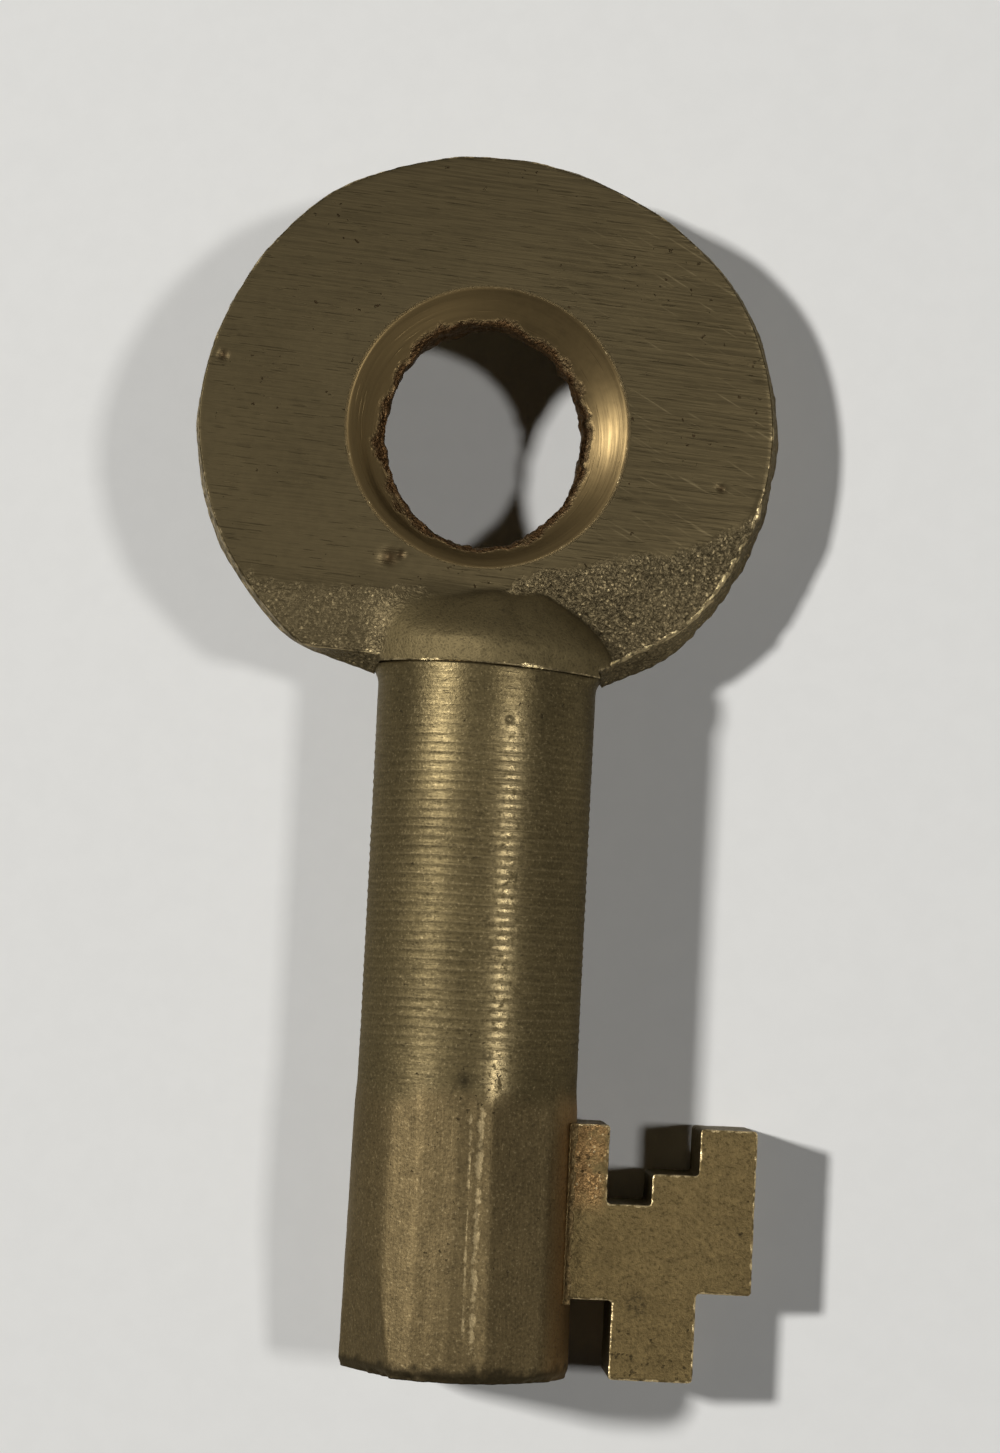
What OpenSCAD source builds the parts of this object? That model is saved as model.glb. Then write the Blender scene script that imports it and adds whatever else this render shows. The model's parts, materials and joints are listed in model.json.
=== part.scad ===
// Railroad switch key: a cast bow brazed on a turned hollow barrel that carries a ward-cut bit.
// The barrel's axis is Y, with the mouth of its pin hole at the origin and the bow towards +Y.
// Each piece is drawn flat, with the bit along +X and the front face towards +Z. The whole key is
// then rolled about its barrel, as it lies on a table, until its bit or its bow meets the surface.

/* [Bow] */
// Width of the cast ring at its parting line
bow_w = 25.7; // [22:0.1:30]
// Thickness of the ring between its two filed faces
bow_t = 3.3; // [2.8:0.1:4.6]
// Distance from the neck seam up to the centre of the hole
bow_rise = 10.5; // [9.5:0.1:12]
// Sideways offset of the ring from the barrel's axis
bow_offset = -0.6; // [-1:0.1:1]
// Draft of the rim on each side of the parting line, in degrees
rim_draft = 11; // [3:1:14]
// Depth of the flattened stretch across the top of the rim
top_flat = 0.65; // [0.2:0.05:1]
// Depth of the flattened stretch high on the left of the rim
high_flat = 0.12; // [0.05:0.01:0.6]
// Depth of the flattened stretch low on the left of the rim
left_flat = 0.3; // [0.1:0.05:0.6]
// Depth of the flattened stretch low on the right of the rim
right_flat = 0.15; // [0.1:0.05:0.6]
// How far a flattened stretch's arc is centred behind the middle of the ring
flat_shift = 2.2; // [1.5:0.1:4]
// Diameter of the hole at its throat
hole_d = 9.5; // [7:0.1:11]
// Diameter of the countersinks where they meet the faces
sink_d = 12.2; // [11.6:0.1:14]
// Length of the straight throat between the two countersinks
throat_t = 1.5; // [1:0.1:2.4]
// Distance from the hole's centre down to the sloped as-cast zone
cast_drop = 6.7; // [6.2:0.1:8]
// Tilt of the upper edge of the as-cast zone, in degrees
cast_tilt = 11; // [0:1:20]
// Slope of the as-cast zone towards the neck, in degrees
cast_slope = 7; // [2:1:10]

/* [Neck] */
// How far the domed neck stands proud of the barrel, on the radius
dome_over = 0.2; // [0.1:0.05:0.6]
// Straight length of the neck under its dome
dome_len = 0.7; // [0.2:0.1:2]
// Rise of the dome above the straight neck, towards the hole
dome_rise = 2.7; // [2:0.1:3.4]
// How far the swell on the left of the neck is centred from the barrel's axis
swell_shift = 1.6; // [0.8:0.1:2.2]
// How much the swell stands lower than the dome
swell_under = 0.35; // [0.2:0.05:0.8]
// Rise of the left shoulder away from the barrel, in degrees
left_rise = 17; // [10:1:30]
// Draft of the left shoulder on each side of the parting line, in degrees
left_draft = 9; // [5:1:25]
// Rise of the right shoulder away from the barrel, in degrees
right_rise = 22; // [10:1:30]
// Draft of the right shoulder on each side of the parting line, in degrees
right_draft = 18; // [5:1:25]
// How far the shoulders reach down past the neck seam beside the barrel
shoulder_low = 0.4; // [0.2:0.1:1]
// Clearance between the shoulders and the end of the barrel
seat_gap = 0.05; // [0.02:0.01:0.2]
// Diameter of the tang inside the barrel
tang_d = 6; // [5.2:0.1:6.6]
// Length of the tang below the neck seam
tang_len = 11.4; // [6:0.1:15]

/* [Barrel] */
// Diameter of the turned stretch
barrel_d = 9.5; // [9:0.1:11]
// Length from the tip to the neck seam
barrel_len = 30.2; // [27:0.1:34]
// How far the unturned stretch stands proud at its upper end, on the radius
root_over = 0.1; // [0.05:0.01:0.3]
// How far the unturned stretch stands proud at the tip, on the radius
tip_over = 0.22; // [0.1:0.01:0.4]
// Length of the unturned stretch above the bit
unturned_over = 0.3; // [0.2:0.05:2]
// Length of the taper where the tool ran out of the cut
runout_len = 0.5; // [0.2:0.1:2]
// Chamfer round the tip
tip_chamfer = 0.35; // [0.1:0.05:0.8]
// Diameter of the pin hole
pin_hole_d = 5.2; // [4:0.1:5.6]
// Depth of the tang's socket past the end of the tang
socket_spare = 0.3; // [0.1:0.1:1]

/* [Bit] */
// Thickness of the bit
bit_t = 3.9; // [3:0.1:4.6]
// Length of the bit along the barrel
bit_len = 10.8; // [9:0.1:13]
// Distance from the tip of the barrel to the lower edge of the bit
bit_foot = 0.1; // [0:0.05:0.5]
// How far the bit stands out of the turned barrel
bit_reach = 7.75; // [7:0.05:10]
// How deep the bit's tongue sits below the turned surface
tongue_depth = 1.15; // [0.6:0.05:1.4]
// Width of the prong beside the barrel
root_prong_w = 1.4; // [0.8:0.05:2]
// Width of the deep upper ward cut
deep_ward_w = 1.9; // [1.2:0.05:2.4]
// Depth of the deep upper ward cut
deep_ward_h = 3.35; // [2.2:0.05:4]
// Width of the shallow upper ward cut
side_ward_w = 2; // [1.2:0.05:2.4]
// Depth of the shallow upper ward cut
side_ward_h = 2; // [1:0.05:2.1]
// Width of the corner cut away at the tip
corner_w = 2.35; // [1:0.05:3]
// Height of the corner cut away at the tip
corner_h = 3.8; // [2:0.05:4.6]
// Width of the lower ward cut beside the barrel
lower_ward_w = 1.8; // [1.2:0.05:2.4]
// Depth of the lower ward cut
lower_ward_h = 3.35; // [2:0.05:4.2]

/* [Braze] */
// Thickness of the braze between two joined faces
braze_gap = 0.1; // [0.05:0.01:0.15]
// Radius of the braze fillets beside the bit
braze_r = 0.6; // [0.3:0.05:1]

/* [Hidden] */
$fn = 96;

BOW_BRASS = [0.42, 0.35, 0.23];
BARREL_BRASS = [0.62, 0.50, 0.28];
BIT_BRASS = [0.55, 0.44, 0.27];
BRAZE_BRASS = [0.66, 0.49, 0.30];

// Directions of the flattened stretches of the rim, in degrees from +X, with their depths
rim_flats = [[80, top_flat], [150, high_flat], [222, left_flat], [327, right_flat]];
// Side, rise and draft of each shoulder
shoulders = [[-1, left_rise, left_draft], [1, right_rise, right_draft]];

bow_r = bow_w / 2;
rim_inset = bow_t / 2 * tan(rim_draft);
hole_y = barrel_len + bow_rise;
barrel_r = barrel_d / 2;
dome_r = barrel_r + dome_over;
swell_r = dome_r - swell_under;
tang_r = tang_d / 2;
socket_r = tang_r + braze_gap;
socket_floor = barrel_len - tang_len - socket_spare;
bit_top = bit_foot + bit_len;
bit_edge = barrel_r + bit_reach;
tongue_x = barrel_r - tongue_depth;
tip_r = barrel_r + tip_over;
unturned_len = bit_top + unturned_over;

// Roll that brings a lower edge of a piece level with the underside of the barrel
rest_r = max(tip_r, dome_r);
function roll_onto(x, z) = asin(rest_r / norm([x, z])) - atan2(z, x);
// The key rests on its bit or on the rim of its bow, whichever comes first
rim_x = bow_offset + bow_r - rim_inset;
roll = min(roll_onto(rim_x, bow_t / 2), roll_onto(bit_edge, bit_t / 2));

// Centre of the fillet's arc, which touches the bit's face and the tip of the barrel
fillet_z = bit_t / 2 + braze_r;
fillet_x = sqrt(pow(tip_r + braze_r, 2) - pow(fillet_z, 2));

// Side of a block that is larger than any piece it cuts, and the overlap of cuts and joins
block = 2 * (bow_w + barrel_len);
lap = bow_t / 4;

// Turns a shape built along +Z so that it lies along the barrel, towards the bow
module along_barrel() {
    rotate([-90, 0, 0])
        children();
}

// Rolls a piece that was drawn flat to how the key lies on a table
module as_laid() {
    rotate([0, roll, 0])
        children();
}

// Repeats a shape above the middle plane, mirrored below it
module on_both_faces() {
    children();
    mirror([0, 0, 1])
        children();
}

// Disc that tapers from its parting line to both faces
module drafted_disc(r) {
    on_both_faces()
        cylinder(h = bow_t / 2, r1 = r, r2 = r - rim_inset);
}

// Overlap of the larger discs that flatten the rim
module flattening_discs() {
    intersection_for (flat = rim_flats)
        rotate([0, 0, flat[0]])
            translate([-flat_shift, 0, 0])
                drafted_disc(bow_r - flat[1] + flat_shift);
}

// Ring blank: a drafted disc, flattened where larger arcs cross its rim
module ring_blank() {
    translate([bow_offset, hole_y, 0])
        intersection() {
            drafted_disc(bow_r);
            flattening_discs();
        }
}

// Material below the sloping shoulders, drafted to both faces
module below_shoulders() {
    for (shoulder = shoulders, face = [-1, 1])
        translate([shoulder[0] * barrel_r, barrel_len - shoulder_low, 0])
            rotate([0, 0, shoulder[0] * shoulder[1]])
                rotate([-face * shoulder[2], 0, 0])
                    translate([-block / 2, -block, -block / 2])
                        cube(block);
}

// Material above the as-cast zone, which slopes away from the filed face towards the neck
module above_cast_zone() {
    translate([bow_offset, hole_y - cast_drop, bow_t / 2])
        rotate([0, 0, cast_tilt])
            rotate([cast_slope, 0, 0])
                translate([-block / 2, -block, 0])
                    cube(block);
}

// Straight neck closed by an oval dome, with its flat end at the neck seam
module domed_neck(r) {
    translate([0, barrel_len, 0])
        along_barrel()
            rotate_extrude()
                difference() {
                    union() {
                        square([r, dome_len]);
                        translate([0, dome_len])
                            scale([r, dome_rise])
                                circle(r = 1);
                    }
                    translate([-block, -block / 2])
                        square(block);
                    translate([-lap, -block])
                        square(block);
                }
}

// Swell that fills the left side of the neck, down to its shoulder
module neck_swell() {
    difference() {
        translate([-swell_shift, 0, 0])
            domed_neck(swell_r);
        below_shoulders();
    }
}

// Hole with a countersink on each face
module sunk_hole() {
    sink_h = (bow_t - throat_t) / 2;
    slope = (sink_d - hole_d) / 2 / sink_h;
    translate([bow_offset, hole_y, 0]) {
        translate([0, 0, -bow_t])
            cylinder(h = 2 * bow_t, d = hole_d);
        on_both_faces()
            translate([0, 0, throat_t / 2])
                cylinder(h = sink_h + lap, d1 = hole_d, d2 = sink_d + 2 * slope * lap);
    }
}

// Cast bow: ring, shoulders and domed neck in one, with a tang that enters the barrel
module bow() {
    color(BOW_BRASS)
        as_laid() {
            difference() {
                union() {
                    difference() {
                        ring_blank();
                        below_shoulders();
                        on_both_faces()
                            above_cast_zone();
                    }
                    neck_swell();
                    domed_neck(dome_r);
                }
                sunk_hole();
                along_barrel()
                    cylinder(h = barrel_len, r = barrel_r + seat_gap);
            }
            translate([0, barrel_len - tang_len, 0])
                along_barrel()
                    cylinder(h = tang_len + lap, r = tang_r);
        }
}

// Turned outside of the barrel, with the thicker unturned stretch that carries the bit
module barrel_blank() {
    along_barrel()
        rotate_extrude()
            polygon([
                [0, 0],
                [tip_r - tip_chamfer, 0],
                [tip_r, tip_chamfer],
                [barrel_r + root_over, unturned_len],
                [barrel_r, unturned_len + runout_len],
                [barrel_r, barrel_len],
                [0, barrel_len]
            ]);
}

// Slot for the bit's tongue with room for braze, from the tip up to a given height
module tongue_slot(top) {
    width = bit_t + 2 * braze_gap;
    translate([tongue_x - braze_gap, -lap, -width / 2])
        cube([block, top + lap, width]);
}

// Hollow barrel: pin hole from the tip, socket for the tang from the neck, slot for the bit
module barrel() {
    color(BARREL_BRASS)
        as_laid()
            difference() {
                barrel_blank();
                translate([0, -lap, 0])
                    along_barrel()
                        cylinder(h = socket_floor + 2 * lap, d = pin_hole_d);
                translate([0, socket_floor, 0])
                    along_barrel()
                        cylinder(h = barrel_len, r = socket_r);
                tongue_slot(bit_top);
            }
}

// Outline of the bit: tongue, root prong, stepped upper wards, outer prong and lower wards
module bit_outline() {
    deep_x = barrel_r + root_prong_w;
    side_x = deep_x + deep_ward_w;
    outer_x = side_x + side_ward_w;
    corner_x = bit_edge - corner_w;
    lower_x = barrel_r + lower_ward_w;
    polygon([
        [tongue_x, bit_foot],
        [tongue_x, bit_top],
        [deep_x, bit_top],
        [deep_x, bit_top - deep_ward_h],
        [side_x, bit_top - deep_ward_h],
        [side_x, bit_top - side_ward_h],
        [outer_x, bit_top - side_ward_h],
        [outer_x, bit_top],
        [bit_edge, bit_top],
        [bit_edge, bit_foot + corner_h],
        [corner_x, bit_foot + corner_h],
        [corner_x, bit_foot],
        [lower_x, bit_foot],
        [lower_x, bit_foot + lower_ward_h],
        [barrel_r, bit_foot + lower_ward_h],
        [barrel_r, bit_foot]
    ]);
}

// Flat bit with its ward cuts, let into the barrel by its tongue
module bit() {
    color(BIT_BRASS)
        as_laid()
            translate([0, 0, -bit_t / 2])
                linear_extrude(height = bit_t)
                    bit_outline();
}

// Sleeve of braze between the tang and the wall of its socket
module neck_braze() {
    color(BRAZE_BRASS)
        as_laid()
            translate([0, barrel_len - tang_len, 0])
                along_barrel()
                    difference() {
                        cylinder(h = tang_len, r = socket_r);
                        translate([0, 0, -lap])
                            cylinder(h = tang_len + 2 * lap, r = tang_r);
                    }
}

// Half of the braze's cross-section: the film round the tongue and the hollow fillet outside.
// Both reach a little into the barrel's wall, which trims them.
module braze_section() {
    inner_x = tongue_x - 2 * braze_gap;
    film_z = bit_t / 2 + 2 * braze_gap;
    least_r = min(barrel_r, tip_r - tip_chamfer);
    film_x = sqrt(pow(least_r, 2) - pow(film_z, 2));
    difference() {
        union() {
            translate([inner_x, 0])
                square([film_x - inner_x, film_z]);
            polygon([
                [inner_x, 0],
                [fillet_x, 0],
                [fillet_x, fillet_z],
                [inner_x, inner_x * fillet_z / fillet_x]
            ]);
        }
        translate([fillet_x, fillet_z])
            circle(r = braze_r);
    }
}

// Braze round the bit's tongue, which shows as a fillet along both sides of its root
module bit_braze() {
    color(BRAZE_BRASS)
        as_laid()
            difference() {
                translate([0, bit_top, 0])
                    rotate([90, 0, 0])
                        linear_extrude(height = bit_len) {
                            braze_section();
                            mirror([0, 1])
                                braze_section();
                        }
                difference() {
                    barrel_blank();
                    tongue_slot(barrel_len);
                }
                translate([tongue_x, -lap, -bit_t / 2])
                    cube([block, barrel_len, bit_t]);
                translate([barrel_r, bit_foot - lap, -block / 2])
                    cube([lower_ward_w, lower_ward_h + lap, block]);
            }
}

bow();
barrel();
bit();
neck_braze();
bit_braze();
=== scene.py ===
"""Worn brass surfaces of a railroad switch key, worked out over its CAD frame and set on a plain pale stage.

Every shape is worked out flat, in millimetres: the barrel's axis is Y with its tip at the origin, the bit
points along X and the front faces Z. lay() rolls a shape to how the key rests and scales it to metres.
Directions round the hole are measured from X, and directions round the barrel from its front.
"""

import json
from itertools import product
from math import atan2, cos, hypot, pi, radians, sin, tan

import bpy
import numpy as np
from mathutils import Matrix, Vector


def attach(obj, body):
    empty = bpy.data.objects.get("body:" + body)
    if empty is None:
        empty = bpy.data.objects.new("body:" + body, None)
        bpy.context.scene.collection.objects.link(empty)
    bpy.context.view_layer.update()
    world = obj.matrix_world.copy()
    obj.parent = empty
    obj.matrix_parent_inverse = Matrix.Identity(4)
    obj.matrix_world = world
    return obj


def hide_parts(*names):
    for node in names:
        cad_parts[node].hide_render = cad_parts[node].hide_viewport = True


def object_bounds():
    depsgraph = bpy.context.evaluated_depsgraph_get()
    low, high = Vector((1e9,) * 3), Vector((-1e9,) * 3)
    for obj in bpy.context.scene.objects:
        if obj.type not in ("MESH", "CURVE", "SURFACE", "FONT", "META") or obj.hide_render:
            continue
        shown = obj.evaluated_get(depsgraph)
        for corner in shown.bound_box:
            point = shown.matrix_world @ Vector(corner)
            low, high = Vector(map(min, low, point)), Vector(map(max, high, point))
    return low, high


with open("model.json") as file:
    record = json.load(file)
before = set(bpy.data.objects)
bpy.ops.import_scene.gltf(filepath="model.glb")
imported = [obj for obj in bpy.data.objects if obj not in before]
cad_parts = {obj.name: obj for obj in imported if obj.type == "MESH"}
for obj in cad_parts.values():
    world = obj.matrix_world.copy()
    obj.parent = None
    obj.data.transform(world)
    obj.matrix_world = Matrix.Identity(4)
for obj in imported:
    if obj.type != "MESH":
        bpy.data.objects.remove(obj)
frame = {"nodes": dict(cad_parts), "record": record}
CAD_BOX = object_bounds()

bl_info = {
    "name": "Switch key",
    "version": (1, 0, 0),
    "blender": (4, 5, 0),
    "location": "View3D > Sidebar > Switch Key",
    "description": "Builds the worn brass surfaces of a switch key over its CAD frame",
    "category": "Add Mesh",
}

MM = 1000
MOUNTS = {mount["name"]: mount for mount in frame["record"]["mounts"]}
HOLE_AXIS = MOUNTS["bow_hole"]["axis"]
ROLL = atan2(HOLE_AXIS[0], HOLE_AXIS[2])
ROLLED = np.array(Matrix.Rotation(ROLL, 3, "Y"))
HOLE_X, HOLE_Y, _ = np.array(MOUNTS["bow_hole"]["pos_m"]) @ ROLLED * MM
HOLE_R = MOUNTS["bow_hole"]["dims"]["r_mm"]
THROAT_HALF = MOUNTS["bow_hole"]["dims"]["length_mm"] / 2
PIN_R = MOUNTS["pin_hole"]["dims"]["r_mm"]
PIN_LEN = MOUNTS["pin_hole"]["dims"]["length_mm"]


def flat_box(node):
    """Lowest and highest corner of a CAD node, in millimetres, with the key's roll taken out."""
    vertices = frame["nodes"][node].data.vertices
    corners = np.empty(len(vertices) * 3)
    vertices.foreach_get("co", corners)
    flat = corners.reshape(-1, 3) @ ROLLED * MM
    return flat.min(axis=0), flat.max(axis=0)


BOW_LOW, BOW_HIGH = flat_box("bow")
_, BARREL_HIGH = flat_box("barrel")
BIT_LOW, BIT_HIGH = flat_box("bit")
SEAM_Y = BARREL_HIGH[1]
TIP_R = BARREL_HIGH[2]
DOME_R = BOW_HIGH[2]

# Rim of the bow: direction in degrees and depth of each flattened stretch
RIM_FLATS = ((80, 0.65), (150, 0.12), (222, 0.3), (327, 0.15))
# How far behind the hole's middle their arcs are centred, and the rounding between arc and ring
FLAT_SHIFT = 2.2
FLAT_ROUND = 0.25
# How much was filed off the left of the rim, and the share of its draft that is left on the front there
LEFT_FILED = 0.33
LEFT_DRAFT = 0.25
# How far the rim is drawn in to make room for its bumps, and the height and width of the flash round it
RIM_ROOM = 0.05
FLASH_UP = 0.05
FLASH_WIDTH = 0.16
# Each shoulder: its side, how far its angle turns from the parting line to the face, and its height over
# the neck seam at both
SHOULDERS = ((-1, radians(-14), -0.35, 0.4), (1, radians(6), -0.45, 0.08))
SHOULDER_ROUND = 0.5
# Seat of the barrel: its clearance at the sides, how far its front stands over the neck seam, and how it
# falls to the right
SEAT_GAP = 0.05
SEAT_RISE = -0.04
SEAT_FALL = 0.034

# Hole: how far the throat lies to the right of the countersinks and below them, is undersized and is oval
THROAT_RIGHT = -0.12
THROAT_DOWN = 0.3
THROAT_UNDER = 0.16
THROAT_OVAL = 0.26
# Radius where the throat starts to be moved, and where it is moved in full
THROAT_MOVED = (5.9, 4.9)
SINK_SLOPE = radians(33.3)
LIP_ROUND = 0.05

# Dome at the neck: its straight length, its rise, how much more it rises on the right, and its half width
DOME_LEN = 0.7
DOME_RISE = 2.9
DOME_LEAN = 0.65
DOME_HALF = 5.5
# Where across the neck that lean starts and ends
LEAN_ACROSS = (0.8, 2.4)
# How full the dome's outline is, along the barrel and across it
DOME_ALONG = 1.45
DOME_ACROSS = 1.5
# Rounding of the dome's foot on the right, what the left adds to it, and where that passes into the other
FOOT_ROUND = 0.12
FOOT_SOFT = 0.5
FOOT_ACROSS = (1, 3)
# Width of the painted shade along the crease at the dome's foot
CREASE_WIDTH = 0.3
# Swell left of the dome: straight length, rise, half width, depth below the dome, rounding of its foot, the
# share from which its even fall starts, and the easing of that fall
SWELL_LEN = 1.1
SWELL_RISE = 2.4
SWELL_HALF = 5.9
SWELL_UNDER = 0.3
SWELL_ROUND = 0.8
SWELL_FALL = 1.1
SWELL_EASE = 0.3
# Where across the neck the swell passes into the dome
SWELL_ACROSS = (-3, 1.5)

# As-cast zone: how far its edge lies below the hole's middle, its slope, and the rounding along it
CAST_DROP = 6.7
CAST_TILT = radians(11)
CAST_ROUND = 1.2
# How that edge bends up on the right and on the left: where the bend starts, and how strong it is
CAST_RIGHT = (4, 0.018)
CAST_LEFT = (-1, 0.02)
# How it dips over the neck: place, width and depth
CAST_DIP = (-0.9, 1.9, 0.8)

# Burrs along the lower edge of the front: place, width and height; their breadth, and the least height there
BURRS = (
    (-5.15, 30.65, 0.3, 0.08), (-2.75, 30.27, 0.36, 0.06),
    (1.75, 30.14, 0.4, 0.07), (6.65, 31.3, 0.34, 0.08),
)
BURR_BREADTH = 0.15
BURR_LEAST = 1.2
# Burr rolled up along the lower right of the front's edge: direction, reach to each side, height, distance
# from the edge, width, and the share of it that is left where it isn't broken
ROLLED_TURN = radians(-37)
ROLLED_REACH = radians(23)
ROLLED_UP = 0.1
ROLLED_INSET = 0.16
ROLLED_WIDTH = 0.15
ROLLED_SHARE = 0.65
# Pits in the front: place, width and height
PITS = (
    (-12.2, 43.2, 0.2, -0.06), (-4.56, 34.8, 0.34, -0.09),
    (-4.1, 34.95, 0.2, -0.07), (9.67, 38.6, 0.14, -0.05),
)
# Lean of the file's lines over the faces
FILE_LEAN = radians(-4)

# Tang: radius, lower end, chamfer, reach into the bow, and sides of its round
TANG_R = 3
TANG_END = SEAM_Y - 11.4
TANG_CHAMFER = 0.3
TANG_ROOT = 0.5
TANG_SIDES = 48

# Barrel: radius at the top of the unturned tip, where the tool ran out, and the socket
ROOT_R = 4.85
UNTURNED_Y = 11.2
RUNOUT_LEN = 1.3
SOCKET_R = 3.1
# Where the tool's rings grow to their full depth, and where they fade below the seam
RINGS_START = (12.8, 14.8)
RINGS_END = (25.5, 28.5)
# Each flat along the tip: direction in degrees, depth at the tip and at its upper end, and rounding
TIP_FLATS = (
    (-33.5, 0.055, 0.055, 0.04), (-15, 0.085, 0.085, 0.05), (2.6, 0.04, 0.04, 0.04),
    (29, 0.17, 0.24, 0.05), (-62, 0.56, -0.45, 0.05),
)
# How far the tip is drawn in to make room for its roughness
TIP_ROOM = 0.025
# The worn ridges along the tip's front: direction in degrees at the tip, its change per millimetre, and width
RIDGES = ((1.8, -0.13, 0.11), (5.8, 0, 0.26))
RIDGE_UP = 0.025
# Where along the tip the ridges rise, and where they fade out
RIDGE_START = (0, 2)
RIDGE_END = (11, 12.5)
# Chipped edge of the tip: depth in front, depth behind, least depth, and how far it reaches up
CHIP_FRONT = 0.16
CHIP_BACK = 0.1
CHIP_LEAST = 0.02
CHIP_REACH = 0.38
# Fillet under the shoulders: height and length; and the drop of the barrel's edge at the seam
FILLET_UP = 0.2
FILLET_LEN = 0.9
SEAM_DROP = 0.04
# Each dent in the barrel, and the drip on its tip: direction in degrees, height, width and depth
DENTS = (
    (-4, 12.55, 0.24, 0.04), (7, 13.7, 0.17, -0.06), (10.2, 27.85, 0.16, 0.06), (-30, 20.1, 0.12, 0.03),
)
DRIP = (9.6, 0.6, 0.28, -0.12)
# Stretches polished by handling: direction and width in degrees, and share
# The groove floors in these stretches, where the lamps' highlights fall, carry painted highlight dashes
POLISH = ((13, 7, 1.0), (-25, 9, 0.2))
# Dark stain: direction, height, radius of the barrel there, and the square of its width
STAIN_TURN = radians(-4)
STAIN_Y = 12.55
STAIN_R = 4.8
STAIN_SPREAD = 0.09

# Bit: the edges of its ward cuts
DEEP_X = 6.15
SIDE_X = 8.05
OUTER_X = 10.05
CORNER_X = 10.15
LOWER_X = 6.55
DEEP_Y = BIT_HIGH[1] - 3.35
SIDE_Y = BIT_HIGH[1] - 2
CORNER_Y = BIT_LOW[1] + 3.8
LOWER_Y = BIT_LOW[1] + 3.35
BIT_ROOT_X = 4.2
# Dark stain on the bit's front
BIT_STAIN = (7.6, 3.3, BIT_HIGH[2])
# Rounding of the bit's corners, the width and the drop of its worn edges, the depth of nicks, and its grid
BIT_CORNER = 0.16
BIT_EDGE = 0.15
BIT_DROP = 0.06
NICK_DEPTH = 0.04
BIT_GRID = 0.09
# Braze: radius of its fillets, the angle by which they run on into the barrel, how far they pass the bit's
# lower end, and how far apart the two take their noise
BRAZE_R = 0.3
BRAZE_TUCK = 0.25
BRAZE_PAST = 0.25
BRAZE_APART = 7

# Rough surfaces: the height, the size and the seed of each layer of noise
CAST_RAGGED = ((0.3, 1.1, 3), (0.35, 0.3, 4))
THROAT_ROUGH = ((0.13, 1.3, 11), (0.09, 0.42, 12), (0.05, 0.2, 13))
SINK_TORN = ((0.16, 0.5, 14),)
COARSE_GRAIN = ((0.6, 0.45, 21),)
FINE_GRAIN = ((0.9, 0.26, 22),)
FACE_WAVES = ((0.012, 3.5, 23),)
ROLLED_BROKEN = ((0.9, 0.38, 24),)
ROLLED_WANDER = ((0.09, 0.3, 25),)
RIM_WAVES = ((0.06, 1.8, 31),)
RIM_TEETH = ((0.05, 0.55, 32), (0.04, 0.25, 33))
RING_UNEVEN = ((0.2, 1.7, 40),)
RING_WANDER = ((0.12, 1.1, 41),)
RING_BROKEN = ((0.35, 0.6, 42),)
TIP_DRAWN = ((0.012, 0.5, 43),)
TIP_SKIN = ((0.012, 0.7, 44),)
RUNOUT_RAGGED = ((0.25, 1.3, 45),)
TIP_CHIPS = ((0.14, 0.5, 46), (0.08, 0.2, 47))
TIP_END = ((0.05, 0.5, 48),)
PIN_WAVES = ((0.02, 0.8, 49),)
TURNED_RAGGED = ((0.4, 0.7, 50),)
TIP_GRIME = ((0.3, 0.9, 51), (0.25, 0.3, 52))
BIT_NICKS = ((0.5, 0.6, 61), (0.5, 0.25, 62))
BIT_SKIN = ((0.012, 0.8, 63), (0.01, 0.35, 64))
BRAZE_LUMPS = ((0.02, 0.6, 71), (0.015, 0.25, 72))

# Marks that the bow's and the barrel's surfaces carry for their finishes
BOW_MARKS = ("filed", "cast", "sink", "throat", "dome", "crease", "edge", "rim", "pit")
BARREL_MARKS = ("turned", "inside", "edge", "hollow", "spot", "crest", "polish")

# Grid steps across the bow's throat, sink, face, the band along its edge, its rounding and its rim
THROAT_STEPS = 9
SINK_STEPS = 15
FACE_STEPS = 41
BAND_STEPS = 9
ROUND_STEPS = 6
RIM_STEPS = 10
# Share of the face where the band along its edge starts
BAND_START = 0.94
# Sections round the bow, outside the seat and over it, and round the barrel, in front and behind
BOW_SECTIONS = 560
SEAT_SECTIONS = 170
FRONT_SECTIONS = 114
BACK_SECTIONS = 76

# Brass: share of metal, tint of its sheen, and grains of the casting in a millimetre
METAL = 0.92
SHEEN = (0.75, 0.7, 0.6, 1)
GRAIN_SCALE = 6.0
# Turn of the slanting scratches on the filed face
SLASH_TURN = radians(-28)

# Stage, in metres: half width of the floor, and the distance and width of the lights
FLOOR_REACH = 3.0
LAMP_DISTANCE = 1.0
LAMP_WIDTH = 0.083
# Each light: name, direction and height in degrees, and power in watts
LAMPS = (("left_light", 162.5, 52.8, 7.4), ("right_light", 2, 52.1, 2.75))
# Strength of the surroundings: in reflections at the horizon and overhead, behind the key, and as light
HORIZON = 0.32
OVERHEAD = 0.6
BACKDROP = 0.85
AMBIENT = 0.004
# Camera, in the flat key's millimetres, its lean from the key's length, and its lens and sensor
CAMERA_AT = (-6.229, 17.761, 147.826)
CAMERA_AIM = (0.651, 27.847, 0)
CAMERA_LEAN = radians(-2.865)
CAMERA_LENS = 84.24
CAMERA_SENSOR = 36
CAMERA_NEAR = 0.01


def srgb(red, green, blue):
    """Linear colour of three 0 to 255 display values."""
    shares = np.array((red, green, blue)) / 255
    return tuple(np.where(shares <= 0.04045, shares / 12.92, ((shares + 0.055) / 1.055) ** 2.4))


def length(name, description, millimetres):
    """Length property that defaults to a number of millimetres."""
    return bpy.props.FloatProperty(
        name=name, description=description, default=millimetres / MM, unit="LENGTH", precision=5
    )


def angle(name, description, size):
    """Angle property that defaults to a number of degrees."""
    return bpy.props.FloatProperty(
        name=name, description=description, default=radians(size), subtype="ANGLE"
    )


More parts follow.
